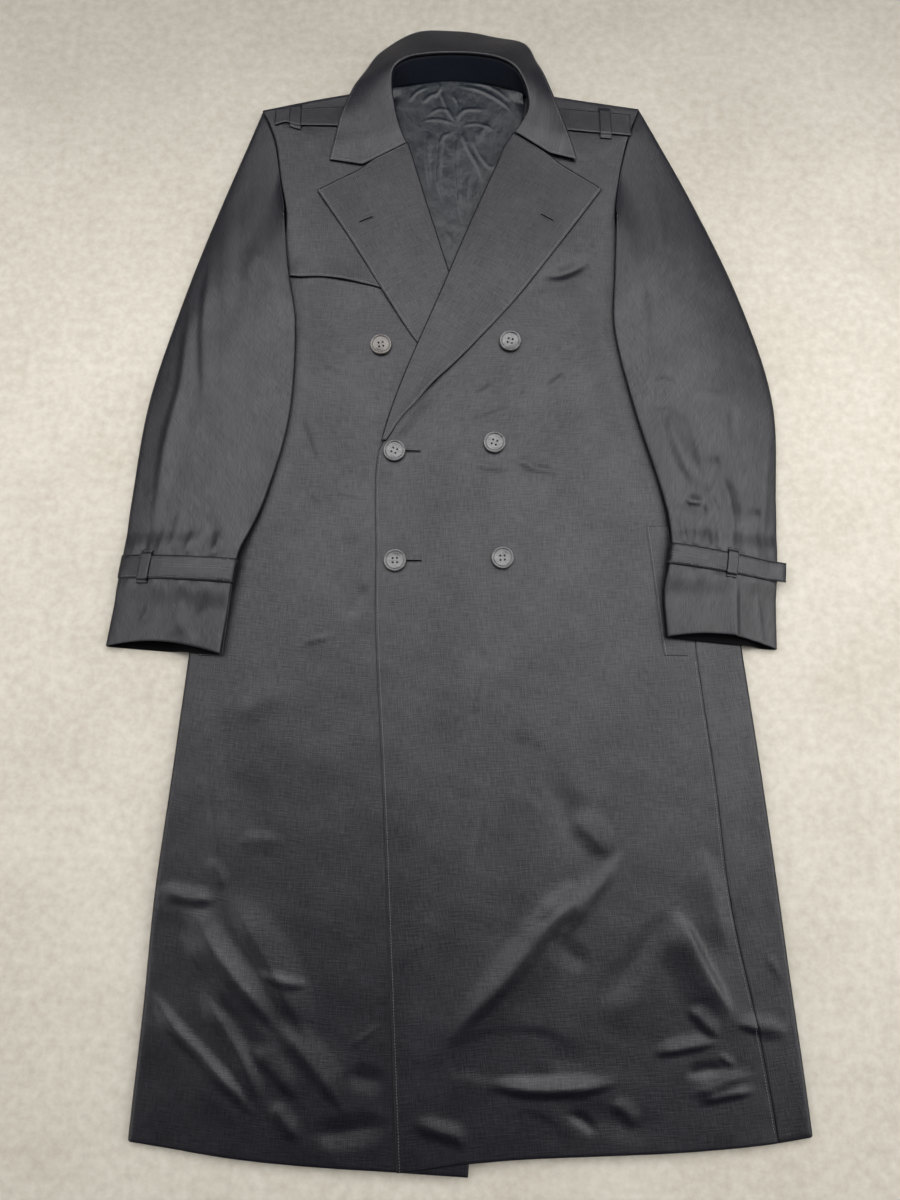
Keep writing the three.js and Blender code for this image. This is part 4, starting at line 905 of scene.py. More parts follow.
SLEEVES = {
    "right": dict(
        table=SLEEVE_RIGHT, side=0, front="front_right", back="back_right", sign=-1,
        folds=SLEEVE_FOLDS_RIGHT, creases=RIGHT_SLEEVE_CREASES, gathers=GATHERS_RIGHT,
        under=on_right, welt_x=-262.5, strap_outer=STRAP_AT, strap_inner=STRAP_AT, loop_at=0.23,
        free_end=()),
    "left": dict(
        table=SLEEVE_LEFT, side=1, front="front_left", back="back_left", sign=1,
        folds=SLEEVE_FOLDS_LEFT, creases=LEFT_SLEEVE_CREASES, gathers=GATHERS_LEFT,
        under=on_left, welt_x=250, strap_outer=5.44, strap_inner=5.2, loop_at=0.44,
        free_end=((8, 0.8, 0.5), (17, 2, -0.5))),
}


def sleeve_frame(sleeve, at):
    s = station(sleeve["table"], np.array([at]))
    outer = np.array([s["ox"][0], s["oy"][0]])
    inner = np.array([s["ix"][0], s["iy"][0]])
    return outer, inner


def table_row(t, i):
    return {name: column[i] for name, column in t.items()}


def sleeve_ring(sleeve, at, upper, lower, plain=False):
    """One ring of a sleeve at a station: its upper layer from the outer fold, then its lower."""
    outer, inner = sleeve_frame(sleeve, at)
    width = float(np.hypot(*(outer - inner)))
    first, joined = table_row(sleeve["table"], 0), table_row(sleeve["table"], 3)
    row = joined if at < 3 else dict(ox=outer[0], oy=outer[1], ix=inner[0], iy=inner[1])
    side = float(body_sides(np.array(0.5 * (row["oy"] + row["iy"])))[sleeve["side"]])
    cross = (row["ix"] - side) / (row["ix"] - row["ox"])
    near = 1 - float(ease(0, 1.5, at))
    w = min(1, at / 3)
    ramp = RAMP / width
    lift = STRAP_ROOM * float(ease(STRAP_AT - 0.8, STRAP_AT - 0.35, at)
                              * (1 - ease(STRAP_AT + 0.35, STRAP_AT + 0.8, at)))
    inner_floor = float(support(sleeve, *inner)) + 2 * LAY

    t = upper
    p = mix(outer[None, :], inner[None, :], t[:, None])
    y0 = mix(first["oy"], first["iy"], t)
    seam_x = read(ARMHOLES, "y", sleeve["front"], y0) + sleeve["sign"] * SEAM
    p[:, 0] += (seam_x - mix(first["ox"], first["ix"], t)) * near
    p[:, 1] += CUFF_LIP * np.sin(np.pi * t) * ease(6.5, 7, at)
    full = mix(2 * EDGE_R, inner_floor + 2 * EDGE_R, t) + SLEEVE_CROWN * np.sin(np.pi * t)
    sewn = (plain_top(p[:, 0], p[:, 1])
            + (inner_floor + 2 * EDGE_R - SIDE_H - CROWN) * ease(0.5, 1, t))
    folds = FOLD_SHARE * straight_folds(sleeve_plan(sleeve["folds"]), t * SLEEVE_W, at * STATION,
                                        8, 0.3)
    if not plain:
        folds = folds + sleeve_detail(sleeve, p, t, at)
    high = mix(sewn, full + folds, ease(0, 1.3, at)) + lift
    middle = mix(EDGE_R, inner_floor + EDGE_R, t)
    z = middle + lift + (high - middle - lift) * fold_round(t)
    overs = np.c_[p, z]

    t = lower
    line = mix(np.array([joined["ix"], joined["iy"]]), np.array([joined["ox"], joined["oy"]]),
               t[:, None])
    if w < 1:
        p = mix(armhole_under(sleeve, t, cross), line, w)
        for end, share in (("i", 1 - t), ("o", t)):
            straight = np.array([mix(first[end + "x"], joined[end + "x"], w),
                                 mix(first[end + "y"], joined[end + "y"], w)])
            curved = inner if end == "i" else outer
            p = p + (curved - straight)[None, :] * share[:, None]
    else:
        p = mix(inner[None, :], outer[None, :], t[:, None])
    outside = ease(0, 1, (t - cross - 2 / width) / ramp)
    floor = (support(sleeve, p[:, 0], p[:, 1]) + 2 * LAY) * (1 - outside) + lift
    middle = mix(EDGE_R, inner_floor + EDGE_R, 1 - t) + lift
    z = middle - (middle - floor) * fold_round(t)
    return np.concatenate([overs, np.c_[p, z]])


def sleeve_plan(folds):
    """A sleeve's folds on its plan, in millimetres across and along it."""
    return dict(x0=folds["t0"] * SLEEVE_W, y0=folds["at0"] * STATION, x1=folds["t1"] * SLEEVE_W,
                y1=folds["at1"] * STATION, w=folds["w"], h=folds["h"])


def sleeve_detail(sleeve, p, t, at):
    """Creases, gathers at the strap and unevenness of a sleeve's upper layer."""
    detail = creases(sleeve["creases"], p[:, 0], p[:, 1]) + undulation(1.3 * p[:, 0], p[:, 1])
    middle = mix(sleeve["strap_outer"], sleeve["strap_inner"], t)
    off = (at - middle) * CUFF_STATION
    beside = np.abs(off) - 0.5 * STRAP_SPAN * CUFF_STATION
    g = sleeve["gathers"]
    for place, h, w, up, down in zip(g["t"], g["h"], g["w"], g["up"], g["down"]):
        reach = np.where(off < 0, up, down)
        wave = 1.5 * h * np.exp(-(((t - place) * SLEEVE_W / w) ** 2))
        detail = detail + wave * ease(-1, 3, beside) * np.exp(-np.maximum(0, beside) / reach)
    under_strap = 1 - ease(-1, 4, beside)
    detail = detail * (1 - under_strap)
    return detail * ease(0, 0.1, t) * ease(0, 0.1, 1 - t) * ease(0.3, 1.3, at)


def armhole_under(sleeve, t, cross):
    """The hidden part of the armhole, down the front to the armpit and up the back."""
    first = table_row(sleeve["table"], 0)
    down = t < cross
    s = np.where(down, np.sin(0.5 * np.pi * np.minimum(1, t / cross)), (t - cross) / (1 - cross))
    y = np.where(down, mix(first["iy"], ARMPIT_Y, s), mix(ARMPIT_Y, first["oy"], s))
    front, back = (read(ARMHOLES, "y", sleeve[end], y) for end in ("front", "back"))
    x = np.where(down, front, back)
    return np.c_[x + sleeve["sign"] * 3 * SEAM, y - np.where(down, 0, 2 * SEAM * (1 - s))]


def sleeve_tube(sleeve):
    stations = np.r_[np.linspace(0, 5, 134), np.linspace(5, 7, 34)[1:]]
    return np.array([sleeve_ring(sleeve, at, UPPER_STEPS, LOWER_STEPS) for at in stations])


def strap_rows(sleeve, count, upper, lower):
    inwards = np.r_[upper, 1 - lower]
    middles = mix(sleeve["strap_outer"], sleeve["strap_inner"], inwards)
    rows = []
    for v in steps(count):
        ring = []
        for j, middle in enumerate(middles):
            ring.append(sleeve_ring(sleeve, middle + (v - 0.5) * STRAP_SPAN, upper, lower, True)[j])
        rows.append(ring)
    return np.array(rows)


def cuff_strap(name, sleeve):
    """The strap round a cuff: closed on the wearer's right, open with a free end on the left."""
    upper, lower = even_steps(30), even_steps(16)[1:-1]
    rows = strap_rows(sleeve, 6, upper, lower)
    normals = normals_of(rows, 1, True)
    soft = 0.35 * np.sin(0.19 * rows[..., 0] + 1) * np.sin(0.11 * rows[..., 0])
    if not sleeve["free_end"]:
        outside = rows + normals * (LAY + TRIM + np.maximum(0, soft)[..., None])
        return wall(name, outside, rows + normals * LAY, True), outside
    count = len(upper)
    # From under the sleeve round its inner fold and over it, short of the outer fold
    beneath = np.arange(len(lower) - 3, -1, -1) + count
    above = np.arange(count - 1, np.searchsorted(upper, 0.05) - 1, -1)
    path = np.r_[beneath, above]
    grids = []
    for away in (LAY + TRIM, LAY):
        grid = (rows + normals * away)[:, path]
        tip = grid[:, -1:]
        ends = [tip + np.array([run, -fall, rise]) for run, fall, rise in sleeve["free_end"]]
        grids.append(np.concatenate([grid, *ends], axis=1))
    return wall(name, grids[0], grids[1], False), grids[0]


def bridge(surface, cover):
    """A loop of cloth over a strap: on the cloth, up, over it and down again."""
    rows = []
    for v in np.linspace(-1, 1, 41):
        over = float(np.interp(v, LOOP_PROFILE["v"], LOOP_PROFILE["over"]))
        row = [surface(v, t) + np.array([0, 0, LAY + LOOP_WALL + over * cover]) for t in steps(6)]
        rows.append(row)
    return np.array(rows)


def sleeve_loop(sleeve):
    def surface(v, t):
        inwards = sleeve["loop_at"] + (t - 0.5) * LOOP_W / SLEEVE_W
        middle = mix(sleeve["strap_outer"], sleeve["strap_inner"], inwards)
        at = middle + v * 0.5 * LOOP_L / CUFF_STATION
        return sleeve_ring(sleeve, at, np.array([inwards]), LOWER_STEPS[:1], True)[0]
    return bridge(surface, LAY + TRIM)


EPAULETTES = {
    "right": dict(outer=-222, inner=-112, low_outer=1209, high_outer=1232, low_inner=1205,
                  high_inner=1236, arch=4, loop_x=-196, reach=1.5, top=on_right),
    "left": dict(outer=229, inner=112, low_outer=1194, high_outer=1226, low_inner=1205,
                 high_inner=1237, arch=0, loop_x=197, reach=1.45, top=on_left),
}


def epaulette_y(e, x, t):
    s = (x - e["outer"]) / (e["inner"] - e["outer"])
    arch = e["arch"] * ease(0, 0.12, s) * (1 - ease(0.12, 0.3, s))
    return mix(mix(e["low_outer"], e["low_inner"], s) + arch,
               mix(e["high_outer"], e["high_inner"], s), t)


def epaulette(e):
    x = np.broadcast_to(mix(e["outer"], e["inner"], steps(44))[None, :], (15, 45))
    y = epaulette_y(e, x, steps(14)[:, None])
    soft = 0.4 * np.abs(np.sin(0.07 * x))
    return np.stack([x, y, e["top"](x, y) + LAY + TRIM + soft], axis=-1)


def epaulette_loop(e):
    def surface(v, t):
        x = np.array(e["loop_x"] + (t - 0.5) * LOOP_W)
        y = epaulette_y(e, x, 0.5 + 0.5 * v * e["reach"])
        return np.array([float(x), float(y), float(e["top"](x, y))])
    return bridge(surface, LAY + TRIM + 0.4)


def pocket_welt(low_x, high_x, outwards, top):
    v, t = steps(50)[:, None], steps(9)[None, :]
    x = mix(low_x, high_x, v) + outwards * WELT_W * t
    y = np.broadcast_to(mix(*WELT_Y, v), x.shape)
    return np.stack([x, y, top(x, y) + WELT_STANDS], axis=-1)


# Buttons, stitches, holes
def lathe(profile, count):
    """A half section turned about Z; its first and last points are on the axis."""
    turns = np.arange(count) * 2 * np.pi / count
    points, faces = [], []
    for r, z in profile[1:-1]:
        points += [(r * math.cos(a), r * math.sin(a), z) for a in turns]
    bottom, top = len(points), len(points) + 1
    points += [(0, 0, profile[0][1]), (0, 0, profile[-1][1])]
    rings = len(profile) - 2
    for k in range(count):
        n = (k + 1) % count
        faces.append((bottom, n, k))
        faces.append((top, (rings - 1) * count + k, (rings - 1) * count + n))
        for i in range(rings - 1):
            faces.append((i * count + k, i * count + n, (i + 1) * count + n, (i + 1) * count + k))
    return np.array(points), faces


def button_mesh():
    """Four-hole button with a raised, rounded rim, a fine groove and a dished face."""
    profile = [(share * BUTTON_D / 2, z) for share, z in BUTTON_PROFILE]
    points, faces = lathe(profile, 64)
    mesh = bpy.data.meshes.new("button")
    mesh.from_pydata((points / 1000).tolist(), [], faces)
    body = linked("button_blank", mesh)
    for sx, sy in ((-1, -1), (-1, 1), (1, -1), (1, 1)):
        bpy.ops.mesh.primitive_cylinder_add(
            vertices=20, radius=BUTTON_HOLE_R / 1000, depth=0.02,
            location=(sx * BUTTON_HOLE_AT / 1000, sy * BUTTON_HOLE_AT / 1000, 0))
        drill = bpy.context.object
        cut = body.modifiers.new("hole", "BOOLEAN")
        cut.operation, cut.object, cut.solver = "DIFFERENCE", drill, "EXACT"
        bpy.context.view_layer.objects.active = body
        bpy.ops.object.modifier_apply(modifier=cut.name)
        bpy.data.objects.remove(drill)
    made = body.data.copy()
    bpy.data.objects.remove(body)
    return made


def button(name, x, y, turn, mesh, seat):
    """A button in the place of its solid, with its thread through the four holes."""
    data = mesh.copy()
    data.name = name + "_look"
    data.materials.clear()
    data.materials.append(MATERIALS["button_brown" if name == "button_right_1" else "button"])
    spin = math.radians(turn)
    count = len(data.vertices)
    flat = np.empty(3 * count)
    data.vertices.foreach_get("co", flat)
    p = flat.reshape(-1, 3) * 1000
    p = turned(p, spin) + np.array([x, y, seat])
    data.vertices.foreach_set("co", to_frame(p).ravel())
    data.polygons.foreach_set("use_smooth", [True] * len(data.polygons))
    data.set_sharp_from_angle(angle=math.radians(40))
    data.update()
    obj = linked(name + "_look", data)
    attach(obj, "root")
    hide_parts(name)
    bars, faces = [], []
    for side in (-1, 1):
        bar, bar_faces = grain(2 * BUTTON_HOLE_AT + 1.6, 1.0, 0.9, 4)
        bar = bar + np.array([0, side * BUTTON_HOLE_AT, 1.9])
        faces += [[i + len(bars) for i in face] for face in bar_faces]
        bars += list(turned(bar, spin) + np.array([x, y, seat]))
    thread = add_mesh(name + "_thread", np.array(bars), faces, "thread_dark")


def turned(p, angle):
    """Points turned about Z."""
    c, s = math.cos(angle), math.sin(angle)
    return np.c_[c * p[:, 0] - s * p[:, 1], s * p[:, 0] + c * p[:, 1], p[:, 2]]


def grain(length, width, height, sides=3):
    """A short thread on the cloth, pointed at both ends."""
    points = [(-0.5 * length, 0, -0.1)]
    for x in (-0.3 * length, 0.3 * length):
        for k in range(sides + 1):
            a = math.pi * k / sides
            points.append((x, 0.5 * width * math.cos(a), height * math.sin(a) - 0.15))
    points.append((0.5 * length, 0, -0.1))
    n = sides + 1
    faces = [(0, 1 + k + 1, 1 + k) for k in range(sides)] + [(0, 1, n)]
    faces += [(1 + k, 2 + k, 2 + n + k, 1 + n + k) for k in range(sides)] + [(n, 1, 1 + n, 2 * n)]
    faces += [(2 * n + 1, 1 + n + k, 2 + n + k) for k in range(sides)] + [(2 * n + 1, 2 * n, 1 + n)]
    return np.array(points), faces


def resampled(line, pitch):
    """Points at even steps of about `pitch` along a line."""
    line = np.asarray(line)
    lengths = np.r_[0, np.cumsum(np.linalg.norm(np.diff(line, axis=0), axis=1))]
    count = max(2, int(lengths[-1] / pitch))
    at = np.linspace(0, lengths[-1], count + 1)
    return np.stack([np.interp(at, lengths, line[:, k]) for k in range(3)], axis=1)


def stitches(name, lines, material="thread"):
    """Rows of stitches along lines on the cloth, joined into one piece."""
    points, faces = [], []
    base, base_faces = grain(STITCH_L, STITCH_W, STITCH_H)
    for line in lines:
        at = resampled(line, STITCH_PITCH)
        middles, run = 0.5 * (at[1:] + at[:-1]), at[1:] - at[:-1]
        run /= np.linalg.norm(run, axis=1, keepdims=True)
        up = np.array([0.0, 0, 1]) - run * run[:, 2:3]
        up /= np.linalg.norm(up, axis=1, keepdims=True)
        across = np.cross(up, run)
        for m, r, a, u in zip(middles, run, across, up):
            start = len(points)
            points += list(m + base[:, :1] * r + base[:, 1:2] * a + base[:, 2:3] * u)
            faces += [[i + start for i in face] for face in base_faces]
    add_mesh(name, np.array(points), faces, material)


def inset_line(grid, border, inset, start=0.0, end=1.0):
    """A line on a piece, `inset` in from one of its borders, over part of that border."""
    g = {"first": grid, "last": grid[:, ::-1], "low": grid.transpose(1, 0, 2),
         "high": grid[::-1].transpose(1, 0, 2)}[border]
    a, b = int(start * (len(g) - 1)), int(end * (len(g) - 1)) + 1
    line = []
    for row in g[a:b]:
        lengths = np.r_[0, np.cumsum(np.linalg.norm(np.diff(row, axis=0), axis=1))]
        line.append([np.interp(inset, lengths, row[:, k]) for k in range(3)])
    return np.array(line)


def buttonhole(name, x, y, z, angle):
    """A worked buttonhole: a ring of thread round a slit, which is a flat near-black sheet of
    painted shade.
    """
    place = np.array([x, y, z + HOLE_LIFT])
    points, faces = [], []
    around, section = 36, 6
    for i in range(around):
        a = 2 * math.pi * i / around
        c, s = math.cos(a), math.sin(a)
        px = 0.5 * HOLE_L * math.copysign(abs(c) ** 0.6, c)
        py = 1.3 * math.copysign(abs(s) ** 0.5, s)
        for k in range(section):
            b = 2 * math.pi * k / section
            points.append((px + 0.55 * math.cos(b) * c, py + 0.55 * math.cos(b) * s,
                           0.45 * math.sin(b) + 0.15))
    for i in range(around):
        for k in range(section):
            n, q = (i + 1) % around, (k + 1) % section
            faces.append((i * section + k, n * section + k, n * section + q, i * section + q))
    p = turned(np.array(points), math.radians(angle)) + place
    ring = add_mesh(name, p, faces, "hole_thread")
    # The slit: a flat near-black sheet, painted shade standing in for the shadow in the opening
    slit = [(0.47 * HOLE_L * math.cos(a), 1.2 * math.sin(a), 0.3)
            for a in np.linspace(0, 2 * math.pi, 25)[:-1]]
    p = turned(np.array(slit), math.radians(angle)) + place
    dark = add_mesh(name + "_slit", p, [tuple(range(len(slit)))], "slit")


# Materials
def new_material(name, color, roughness, sheen=0.0, sheen_roughness=0.5, sheen_tint=(1, 1, 1),
                 specular=0.5):
    """A plain material; returns its node tree and its shader."""
    material = bpy.data.materials.new(name)
    material.use_nodes = True
    shader = material.node_tree.nodes["Principled BSDF"]
    shader.inputs["Base Color"].default_value = (*color, 1)
    shader.inputs["Roughness"].default_value = roughness
    shader.inputs["Sheen Weight"].default_value = sheen
    shader.inputs["Sheen Roughness"].default_value = sheen_roughness
    shader.inputs["Sheen Tint"].default_value = (*sheen_tint, 1)
    shader.inputs["Specular IOR Level"].default_value = specular
    MATERIALS[name] = material
    return material.node_tree, shader


def node(tree, kind, **values):
    made = tree.nodes.new(kind)
    for key, value in values.items():
        if key in made.inputs:
            made.inputs[key].default_value = value
        else:
            setattr(made, key, value)
    return made


def ramp(tree, source, low, high, start, end):
    """A colour between `low` and `high`, by where the source lies between start and end."""
    made = tree.nodes.new("ShaderNodeValToRGB")
    elements = made.color_ramp.elements
    elements[0].position, elements[1].position = start, end
    elements[0].color, elements[1].color = (*low, 1), (*high, 1)
    tree.links.new(source, made.inputs[0])
    return made.outputs[0]


def map_range(tree, source, start, end, low, high, **values):
    made = node(tree, "ShaderNodeMapRange", **values)
    for key, value in (("From Min", start), ("From Max", end), ("To Min", low), ("To Max", high)):
        made.inputs[key].default_value = value
    tree.links.new(source, made.inputs["Value"])
    return made.outputs[0]


def bump(tree, shader, source, strength, distance_m):
    made = node(tree, "ShaderNodeBump", Strength=strength, Distance=distance_m)
    tree.links.new(source, made.inputs["Height"])
    tree.links.new(made.outputs[0], shader.inputs["Normal"])


def cloth_lengths(tree):
    return node(tree, "ShaderNodeUVMap", uv_map="cloth").outputs[0]


def stretched_noise(tree, coordinates, across, along, detail=2.0):
    place = node(tree, "ShaderNodeMapping")
    place.inputs["Scale"].default_value = (across, along, 1)
    tree.links.new(coordinates, place.inputs["Vector"])
    noise = node(tree, "ShaderNodeTexNoise", Scale=1.0, Detail=detail, Roughness=0.6)
    tree.links.new(place.outputs[0], noise.inputs["Vector"])
    return noise.outputs["Fac"]


def blended(tree, a, share_a, b, share_b):
    """The sum of two sources, each times its share."""
    return math_node(tree, "ADD", math_node(tree, "MULTIPLY", a, share_a),
                     math_node(tree, "MULTIPLY", b, share_b))


def math_node(tree, operation, a, b):
    made = node(tree, "ShaderNodeMath", operation=operation)
    for k, value in enumerate((a, b)):
        if isinstance(value, (int, float)):
            made.inputs[k].default_value = value
        else:
            tree.links.new(value, made.inputs[k])
    return made.outputs[0]


def woven(name, dark, light, roughness, sheen, tint, thread_m, relief, dull, bright):
    """Plain weave with slubs along both threads, on the cloth's own lengths."""
    tree, shader = new_material(name, dark, roughness, sheen, 0.45, tint, 0.5)
    uv = cloth_lengths(tree)
    warp_slubs = stretched_noise(tree, uv, 1 / (2.2 * thread_m), 1 / (26 * thread_m))
    weft_slubs = stretched_noise(tree, uv, 1 / (30 * thread_m), 1 / (2.2 * thread_m))
    cloud = stretched_noise(tree, uv, 14, 11, 3.0)
    slubs = math_node(tree, "ADD", warp_slubs, weft_slubs)
    total = blended(tree, slubs, 0.38, cloud, 0.24)
    tree.links.new(ramp(tree, total, dark, light, *WEAVE_SPAN), shader.inputs["Base Color"])
    tree.links.new(map_range(tree, total, *WEAVE_SPAN, dull, bright),
                   shader.inputs["Specular IOR Level"])
    bump(tree, shader, slubs, relief, 0.0004)


WEAVE_SPAN = (0.36, 0.64)


def make_materials():
    woven("coat_cloth", (0.0015, 0.0015, 0.004), (0.005, 0.005, 0.010), 0.45, 0.015,
          (0.9, 0.92, 1.0), 0.0006, 0.5, 0.41, 0.69)
    woven("collar_lining", (0.002, 0.0035, 0.008), (0.005, 0.007, 0.013), 0.6, 0.02,
          (0.8, 0.9, 1.0), 0.0003, 0.25, 0.12, 0.2)
    tree, shader = new_material("lining_satin", (0.005, 0.007, 0.01), 0.37, 0.05, 0.3,
                                (0.8, 0.9, 1.0), 0.42)
    shader.inputs["Anisotropic"].default_value = 0.4
    uv = cloth_lengths(tree)
    # Painted sheen: the satin's colour is streaked lighter and darker, standing in for its shimmer
    painted_shimmer = stretched_noise(tree, uv, 60, 900)
    color = ramp(tree, painted_shimmer, (0.003, 0.005, 0.008), (0.009, 0.012, 0.017), 0.3, 0.7)
    tree.links.new(color, shader.inputs["Base Color"])
    bump(tree, shader, stretched_noise(tree, uv, 48, 30, 3.0), 0.7, 0.002)
    # Inside of the sleeves: the lining's colour, darkened to near black and dulled as painted shade
    new_material("sleeve_lining_painted_shade", (0.003, 0.003, 0.004), 0.8, specular=0.1)
    new_material("thread", (0.08, 0.08, 0.085), 0.5, 0.2)
    new_material("hole_thread", (0.035, 0.035, 0.038), 0.6, 0.1)
    new_material("thread_dark", (0.012, 0.012, 0.014), 0.6, 0.1)
    # A buttonhole's slit: near black and dull, painted shade
    new_material("slit", (0.002, 0.002, 0.003), 0.9, specular=0.1)
    for name, dark, light in (("button", (0.05, 0.05, 0.052), (0.125, 0.125, 0.13)),
                              ("button_brown", (0.05, 0.048, 0.047), (0.14, 0.127, 0.118))):
        tree, shader = new_material(name, dark, 0.28, specular=0.6)
        place = node(tree, "ShaderNodeTexCoord").outputs["Object"]
        marble = stretched_noise(tree, place, 90, 240, 4.0)
        tree.links.new(ramp(tree, marble, dark, light, 0.3, 0.75), shader.inputs["Base Color"])
    tree, shader = new_material("floor_plaster", (0.7, 0.66, 0.58), 0.9)
    place = node(tree, "ShaderNodeTexCoord").outputs["Object"]
    cloud = stretched_noise(tree, place, 7, 7, 4.0)
    speck = stretched_noise(tree, place, 90, 90, 5.0)
    total = blended(tree, cloud, 0.4, speck, 0.6)
    color = ramp(tree, total, (0.34, 0.316, 0.272), (0.44, 0.418, 0.376), 0.34, 0.66)
    # Painted shade: the floor's colour darkens beyond the collar, standing in for the light falling
    # off there
    far = node(tree, "ShaderNodeSeparateXYZ")
    tree.links.new(place, far.inputs[0])
    shade = map_range(tree, far.outputs["Y"], 0.1, 0.9, 1.0, 0.56,
                      interpolation_type="SMOOTHSTEP")
    shaded = node(tree, "ShaderNodeVectorMath", operation="SCALE")
    tree.links.new(color, shaded.inputs[0])
    tree.links.new(shade, shaded.inputs["Scale"])
    tree.links.new(shaded.outputs[0], shader.inputs["Base Color"])


# Building
make_materials()
grids = {
    "back": back_panel(),
    "lining_back": back_lining(),
    "front_right": front_panel(right_outer, EDGE_RIGHT, right_top, 1, 1, HEM_RIGHT),
    "storm_flap": storm_flap(),
    "lapel_right": lapel(EDGE_RIGHT, LAPEL_RIGHT, BREAK_Y + 9, 1114, 1178, on_right, lift_right),
    "front_left": front_panel(left_outer, EDGE_LEFT, left_top, -1, 0, HEM),
    "lapel_left": lapel(EDGE_LEFT, LAPEL_LEFT, BREAK_Y, 1117, 1194, on_left, lift_left),
    "collar_stand": collar_stand(),
    "collar_fall": collar_fall(),
    "pocket_welt_right": pocket_welt(-257, -243, -1, plain_top),
    "pocket_welt_left": pocket_welt(241, 227, 1, left_top),
}
for side, sleeve in SLEEVES.items():
    grids["sleeve_" + side] = sleeve_tube(sleeve)
    grids["cuff_loop_" + side] = sleeve_loop(sleeve)
for side, e in EPAULETTES.items():
    grids["epaulette_" + side] = epaulette(e)
    grids["epaulette_loop_" + side] = epaulette_loop(e)

# Walls by how a piece's name starts; the others are one layer of coat cloth
WALLS = {"lining_back": LINING_WALL, "lapel": FACED, "pocket_welt": WELT_WALL,
         "cuff_loop": LOOP_WALL, "epaulette_loop": LOOP_WALL, "epaulette": TRIM}
LOOKS = {"lining_back": ("lining_satin", "lining"),
         "collar_stand": ("collar_lining", "collar_under")}
# Each piece as a closed wall of cloth, and each cuff strap with the grid of its outer face
pieces, straps = {}, {}
for name, grid in grids.items():
    thickness = next((WALLS[start] for start in WALLS if name.startswith(start)), CLOTH)
    material, slot = LOOKS.get(name, ("coat_cloth", "coat_cloth"))
    pieces[name] = cloth(name + "_look", grid, thickness, up=-1 if name == "back" else 1,
                         tube=name.startswith("sleeve"), material=material)
for side, sleeve in SLEEVES.items():
    name = "cuff_strap_" + side
    pieces[name], straps[side] = cuff_strap(name + "_look", sleeve)
    lining_and_painted_shade_inside(pieces["sleeve_" + side], grids["sleeve_" + side])
for name, piece in pieces.items():
    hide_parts(name)

blank = button_mesh()
for name, x, y, turn in BUTTONS:
    button(name, x, y, turn, blank, 1000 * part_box(name)[0][2])
bpy.data.meshes.remove(blank)

# Topstitching, 2.2 to 3 mm in from the edges
g = grids
stitches("stitches_front_left", [
    inset_line(g["front_left"], "last", 3, 0.0, 0.62),
    inset_line(g["front_left"], "first", 2.5, 0.01, 0.42)])
stitches("stitches_lapels", [
    inset_line(g["lapel_left"], "last", 2.6), inset_line(g["lapel_left"], "high", 2.6, 0.05, 0.98),
    inset_line(g["lapel_right"], "last", 2.6, 0.3), inset_line(g["lapel_right"], "high", 2.6, 0.1)])
stitches("stitches_collar", [
    inset_line(g["collar_fall"], "last", 2.8), inset_line(g["collar_fall"], "low", 2.6, 0.2),
    inset_line(g["collar_fall"], "high", 2.6, 0.2)])
stitches("stitches_storm_flap", [inset_line(g["storm_flap"], "low", 2.6, 0.02, 0.8)])
# Where the double row of stitches starts and ends on each strap, as shares of its length
DOUBLE_ROW = {"right": (0.28, 0.64), "left": (0.29, 0.55)}
STRAP_TOP_Z = 15       # the straps' upper sides lie above this
for side in SLEEVES:
    strap = straps[side]
    rows = []
    for border in ("low", "high"):
        line = inset_line(strap, border, 2.4)
        line = line[line[:, 2] > STRAP_TOP_Z]
        rows.append(line[np.argsort(line[:, 0])])
    rows += [inset_line(strap, "low", inset, *DOUBLE_ROW[side]) for inset in (10.5, 13)]
    stitches("stitches_cuff_" + side, rows)
    e = g["epaulette_" + side]
    stitches("stitches_epaulette_" + side, [
        inset_line(e, "low", 2.2), inset_line(e, "high", 2.2)], material="hole_thread")
    stitches("stitches_welt_" + side, [
        inset_line(g["pocket_welt_" + side], border, 2.2) for border in ("first", "last")])

# Buttonholes: name, x, y and angle in degrees
FRONT_HOLES = (("right_2", -44, 772, -2), ("right_3", -42, 641, 0))
for name, x, y, angle in FRONT_HOLES:
    buttonhole("buttonhole_" + name, x, y, float(left_top(np.array(x), np.array(y))), angle)
LAPEL_HOLES = (("lapel_right", -104, 1073, 24), ("lapel_left", 120, 1076, -31))
for name, x, y, angle in LAPEL_HOLES:
    near = np.argmin(np.hypot(g[name][..., 0] - x, g[name][..., 1] - y))
    buttonhole("buttonhole_" + name, x, y, g[name][..., 2].flat[near], angle)

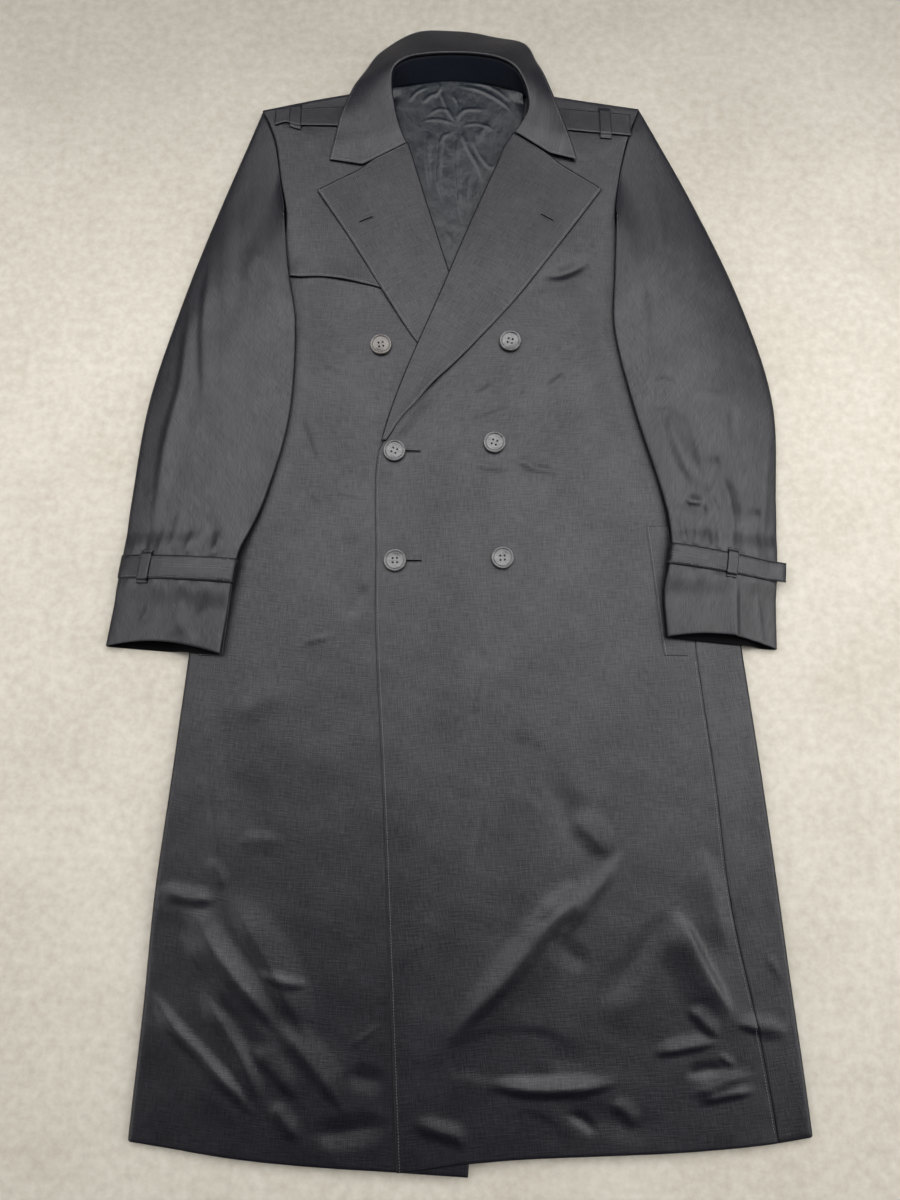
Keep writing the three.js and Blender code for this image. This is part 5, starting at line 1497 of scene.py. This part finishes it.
# Floor, light and camera
bpy.ops.mesh.primitive_plane_add(size=9, location=(0, 0, -0.0002))
floor = bpy.context.object
floor.name = "floor"
floor.data.materials.append(MATERIALS["floor_plaster"])


DAYLIGHT = (1, 0.99, 0.96)
LAMPLIGHT = (1, 0.99, 0.98)
OVERHEAD_Z = 2.3
# What each light is aimed at: the floor under it, all but straight down, or the coat
BELOW = 0.001
COAT = (0, -0.2, 0)


def area_light(name, place, target, width, length, watts, color):
    light = bpy.data.lights.new(name, "AREA")
    light.shape, light.size, light.size_y = "RECTANGLE", width, length
    light.energy, light.color = watts, color
    obj = linked(name, light)
    obj.location = place
    away = [a - b for a, b in zip(place, target)]
    flat = math.hypot(away[0], away[1])
    obj.rotation_euler = (math.atan2(flat, away[2]), 0, math.atan2(away[0], -away[1]))


# Overhead lights: name, x, y, width, length and watts
for name, x, y, width, length, watts in (
        ("ceiling", 0.15, 0.98, 5.4, 1.9, 117), ("lamp", 0.5, -0.4, 0.8, 0.6, 8),
        ("lamp_right_sleeve", -1.0, 2.25, 1.0, 0.8, 12),
        ("lamp_left_sleeve", 1.1, 2.25, 1.0, 0.8, 14)):
    area_light(name, (x, y, OVERHEAD_Z), (x, y - BELOW, 0), width, length, watts, LAMPLIGHT)
area_light("window", (2.3, -0.4, 1.5), COAT, 2.4, 2.0, 44, DAYLIGHT)
area_light("far_window", (-2.6, -0.6, 1.6), COAT, 2.4, 2.0, 33, DAYLIGHT)
world = bpy.data.worlds.new("soft_world")
bpy.context.scene.world = world
world.use_nodes = True
background = world.node_tree.nodes["Background"]
background.inputs["Color"].default_value = (1, 1, 1, 1)
background.inputs["Strength"].default_value = 0.03

camera = bpy.data.cameras.new("camera")
camera.sensor_width = 36
camera.lens = CAMERA_LENS
view = linked("camera", camera)
view.location = to_frame([0, CAMERA_Y, CAMERA_HEIGHT])[0]
view.rotation_euler = (math.radians(CAMERA_TILT), 0, 0)
bpy.context.scene.camera = view
bpy.context.scene.view_settings.view_transform = "Standard"
bpy.context.scene.view_settings.look = "Medium High Contrast"
